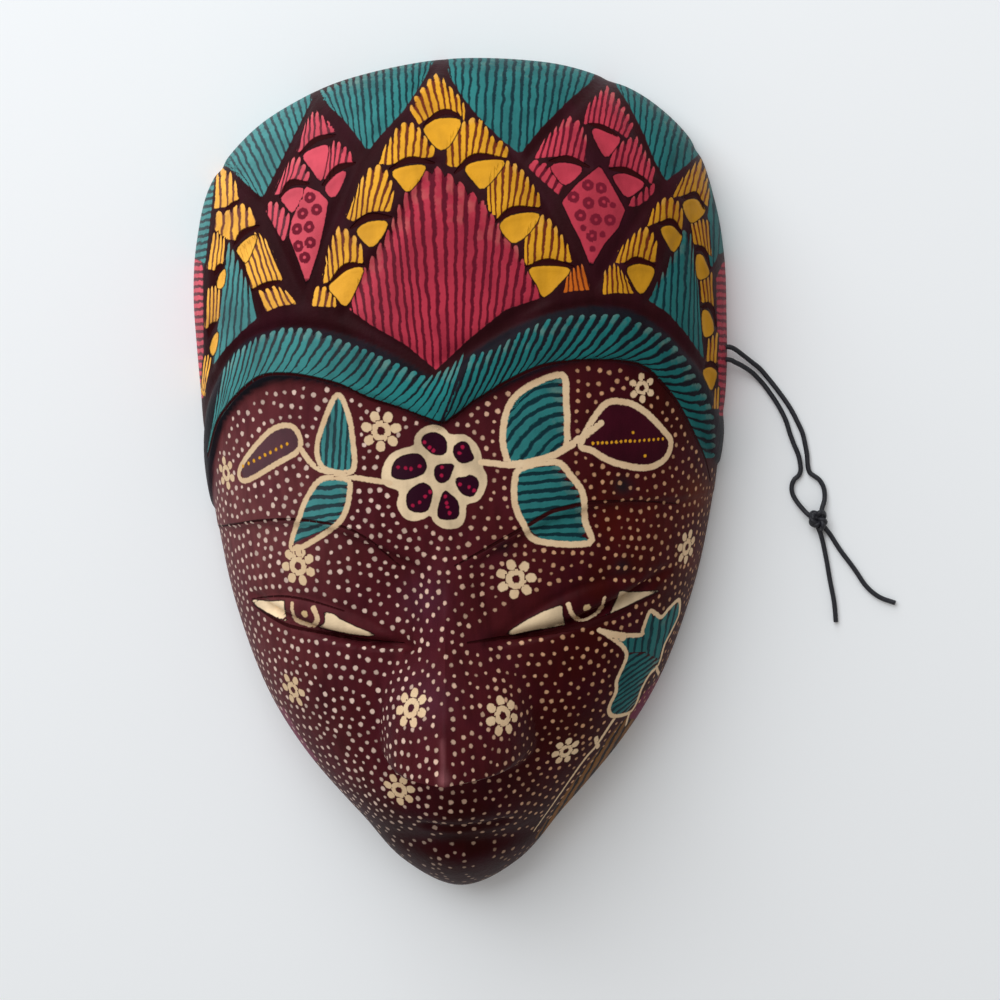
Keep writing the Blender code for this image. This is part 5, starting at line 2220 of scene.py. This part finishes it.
@dataclass(frozen=True)
class BareWood:
    """Light wood left rough from the gouge and rubbed with the ground's dark dye."""

    dark: Triple = linear(92, 46, 40)
    light: Triple = linear(158, 104, 72)
    grain: float = 520.0
    gouge: float = 150.0
    gouge_depth: float = 0.9 * MM
    roughness: float = 0.72

    def material(self) -> bpy.types.Material:
        """Make the finish.

        Returns:
            The material.
        """
        graph = Graph("gouged_bare_wood")
        grain = graph.noise(self.grain, 4.0, (1.0, 0.12, 1.0))
        gouge = graph.noise(self.gouge, 1.0, (1.0, 0.45, 1.0))
        colour = graph.mix((grain + gouge) * 0.9 + 0.45, self.dark, self.light)
        normal = graph.bump(gouge * 2.0 + grain * 0.4, self.gouge_depth, 0.8)
        return graph.finish(base_color=colour, roughness=self.roughness + grain * 0.2, normal=normal)


@dataclass
class CarvedMask:
    """The mask: one block, carved in front and hollowed behind, with two holes for its cord."""

    form: CarvedForm
    view: Viewpoint
    front_lines: tuple[int, int] = (220, 340)
    hollow_lines: tuple[int, int] = (60, 90)
    hole_diameter: float = 0.0019
    holes: tuple[Pair, ...] = ((0.02895, 0.0042), (0.02605, 0.0042))
    petal_room: float = 40
    scoop_edge: float = 5.0
    cut_round: float = 1.6
    sharp_edge: float = math.radians(60)

    def sheet(
        self, bm: bmesh.types.BMesh, lines: tuple[int, int], behind: bool
    ) -> list[bmesh.types.BMVert]:
        """Add the front or the hollow's surface as a grid that ends on the ground.

        Args:
            bm: The mask's mesh.
            lines: Grid lines across and up.
            behind: Whether it is the hollow.

        Returns:
            The grid's vertices.
        """
        known = set(bm.verts)
        bmesh.ops.create_grid(bm, x_segments=lines[0], y_segments=lines[1], size=1.0)
        grid = [vertex for vertex in bm.verts if vertex not in known]
        place = np.array([vertex.co[:2] for vertex in grid]) / 2 + 0.5
        across = self.form.crowded(place[:, 0], self.form.width / 2)
        up = self.form.crowded(place[:, 1], self.form.length / 2)
        plan = self.form.plan(across, up)
        points = self.form.hollow(plan) if behind else self.form.front(plan)
        for vertex, point in zip(grid, points):
            vertex.co = point
            if vertex.is_boundary:
                vertex.co.z = 0.0
        return grid

    def scooped(self, grid: list[bmesh.types.BMVert]) -> None:
        """Scoop the crown's petals and cut the crescents, square to the surface.

        Args:
            grid: The front's vertices.
        """
        points = np.array([vertex.co[:] for vertex in grid])
        pixels = self.view.project(points)
        depth = np.zeros(len(points))
        for petal in PETALS:
            near = np.flatnonzero(np.abs(pixels - petal.corners().mean(axis=0)).max(axis=1) < self.petal_room)
            depth[near] += petal.scoop * eased(polygon_reach(pixels[near], petal.corners()) / self.scoop_edge)
        for cut in CRESCENTS:
            path, widths = cut.pixels()
            near = np.flatnonzero(np.abs(pixels - path.mean(axis=0)).max(axis=1) < self.petal_room)
            for start, end, width in zip(path, path[1:], widths):
                far, _ = segment_reach(pixels[near], start, end)
                depth[near] = np.maximum(depth[near], cut.depth * bell(far, width / self.cut_round))
        for vertex, deep in zip(grid, depth):
            if deep > 0 and not vertex.is_boundary:
                vertex.co -= vertex.normal * deep

    def drilled(self, piece: bpy.types.Object) -> bpy.types.Mesh:
        """Give the mesh with both cord holes cut.

        Args:
            piece: The mask.

        Returns:
            Its mesh with the holes.
        """
        cutters = []
        for hole_y, hole_z in self.holes:
            bm = bmesh.new()
            radius = self.hole_diameter / 2
            bmesh.ops.create_cone(
                bm, cap_ends=True, segments=32, radius1=radius, radius2=radius, depth=4 * self.form.rim_wall
            )
            bmesh.ops.rotate(bm, matrix=Matrix.Rotation(math.pi / 2, 3, "Y"), verts=bm.verts)
            bmesh.ops.translate(bm, vec=(self.form.width / 2, hole_y, hole_z), verts=bm.verts)
            for face in bm.faces:
                face.material_index = 1
            drill = linked("drill", mesh_from(bm, "drill", *piece.data.materials))
            boolean = piece.modifiers.new("drill", "BOOLEAN")
            boolean.operation, boolean.solver, boolean.object = "DIFFERENCE", "EXACT", drill
            cutters.append(drill)
        depsgraph = bpy.context.evaluated_depsgraph_get()
        cut = bpy.data.meshes.new_from_object(piece.evaluated_get(depsgraph), depsgraph=depsgraph)
        piece.modifiers.clear()
        for drill in cutters:
            bpy.data.objects.remove(drill)
        return cut

    def build(self) -> None:
        """Carve, drill and dye the mask, and say which node it stands for."""
        bm = bmesh.new()
        front = self.sheet(bm, self.front_lines, behind=False)
        bm.normal_update()
        if sum(vertex.normal.z for vertex in front) < 0:
            bmesh.ops.reverse_faces(bm, faces=bm.faces)
            bm.normal_update()
        self.scooped(front)
        behind = self.sheet(bm, self.hollow_lines, behind=True)
        for vertex in behind:
            for face in vertex.link_faces:
                face.material_index = 1
        edges = [edge for edge in bm.edges if edge.is_boundary]
        rim = bmesh.ops.triangle_fill(bm, edges=edges, use_beauty=True, normal=(0.0, 0.0, -1.0))["geom"]
        for face in (item for item in rim if isinstance(item, bmesh.types.BMFace)):
            face.material_index = 1
        bmesh.ops.recalc_face_normals(bm, faces=bm.faces)
        mesh = mesh_from(bm, "carved_mask", BatikWood().material(), BareWood().material())
        piece = linked("carved_mask", mesh)
        piece.data = self.drilled(piece)
        piece.data.shade_smooth()
        piece.data.set_sharp_from_angle(angle=self.sharp_edge)
        self.dye(piece.data)
        declare(piece, "batik_dyed_wood", "mask")

    def dye(self, mesh: bpy.types.Mesh) -> None:
        """Lay the whole pattern on the mesh.

        Args:
            mesh: The mask's mesh.
        """
        canvas = DyeCanvas(mesh, self.view, self.form)
        for line in WAXED_LINES:
            canvas.draw("wax", line)
        for flower in SMALL_FLOWERS:
            canvas.bloom(flower)
        # dark crescent cuts, partly painted shade, and painted shadow lines
        for cut in (*CRESCENTS, *SHADED_LINES):
            canvas.draw("dark_cut_and_shade", cut)
        fields = (
            *YELLOW_FANS, *ORANGE_FANS, *PINK_FANS, *TEMPLE_FIELDS[:2], *MAGENTA_FANS, *TEAL_FANS,
            TEMPLE_FIELDS[2], *DIADEM_FANS, *FACE_FIELDS,
        )
        canvas.lay_fields(fields, canvas.ground())
        canvas.lay_patches((*PETALS, *KITES, *FLOWER_CELLS, *EYE_WHITES))
        dots = canvas.lay_dots(DotRule(), SPOTS)
        canvas.store_lines("wax")
        canvas.store_lines("dark_cut_and_shade")
        log.info("the mask has %d faces, %d dots and %d pieces of line", len(mesh.polygons), dots,
                 len(canvas.starts["wax"]) + len(canvas.starts["dark_cut_and_shade"]))


# ------ room


@dataclass(frozen=True)
class Lamp:
    """A soft square lamp that faces the mask."""

    name: str
    place: Triple
    size: float
    power: float
    colour: Triple

    def build(self) -> None:
        """Make the lamp."""
        data = bpy.data.lights.new(self.name, "AREA")
        data.size, data.energy, data.color = self.size, self.power, self.colour
        lamp = linked(self.name, data)
        lamp.location = self.place
        lamp.rotation_euler = (-Vector(self.place)).to_track_quat("-Z", "Y").to_euler()


@dataclass(frozen=True)
class Studio:
    """A plain pale floor and soft light from the upper left."""

    floor_size: float = 3.0
    floor_colour: Triple = (0.93, 0.94, 0.95)
    sky: float = 0.40
    sky_colour: tuple[float, float, float, float] = (1.0, 0.98, 0.96, 1.0)
    lamp: Lamp = Lamp("window", (-0.40, 0.88, 0.84), 1.4, 17.5, (0.95, 1.0, 1.04))

    def build(self) -> None:
        """Make the floor, the sky and the lamp."""
        bm = bmesh.new()
        bmesh.ops.create_grid(bm, x_segments=1, y_segments=1, size=self.floor_size / 2)
        ground = Graph("pale_ground").finish(base_color=self.floor_colour, roughness=0.9)
        linked("floor", mesh_from(bm, "floor", ground))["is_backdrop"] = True
        world = bpy.data.worlds.new("soft_sky")
        world.use_nodes = True
        light = world.node_tree.nodes["Background"].inputs
        light["Color"].default_value, light["Strength"].default_value = self.sky_colour, self.sky
        bpy.context.scene.world = world
        bpy.context.scene.view_settings.view_transform = "Standard"
        self.lamp.build()


def plain(box: Iterable[Iterable[float]]) -> list[list[float]]:
    """Turn a box into plain numbers."""
    return [[float(part) for part in corner] for corner in box]


def main() -> None:
    """Build the view, the cord, the mask and the room; the cord and the mask log what they stand for."""
    logging.basicConfig(level=logging.INFO, format="%(message)s")
    view = Viewpoint()
    view.build()
    HangingCord().build()
    CarvedMask(CarvedForm(), view).build()
    Studio().build()
    {"cad": plain(cad_box), "visual": plain(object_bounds())}


if __name__ == "__main__":
    main()
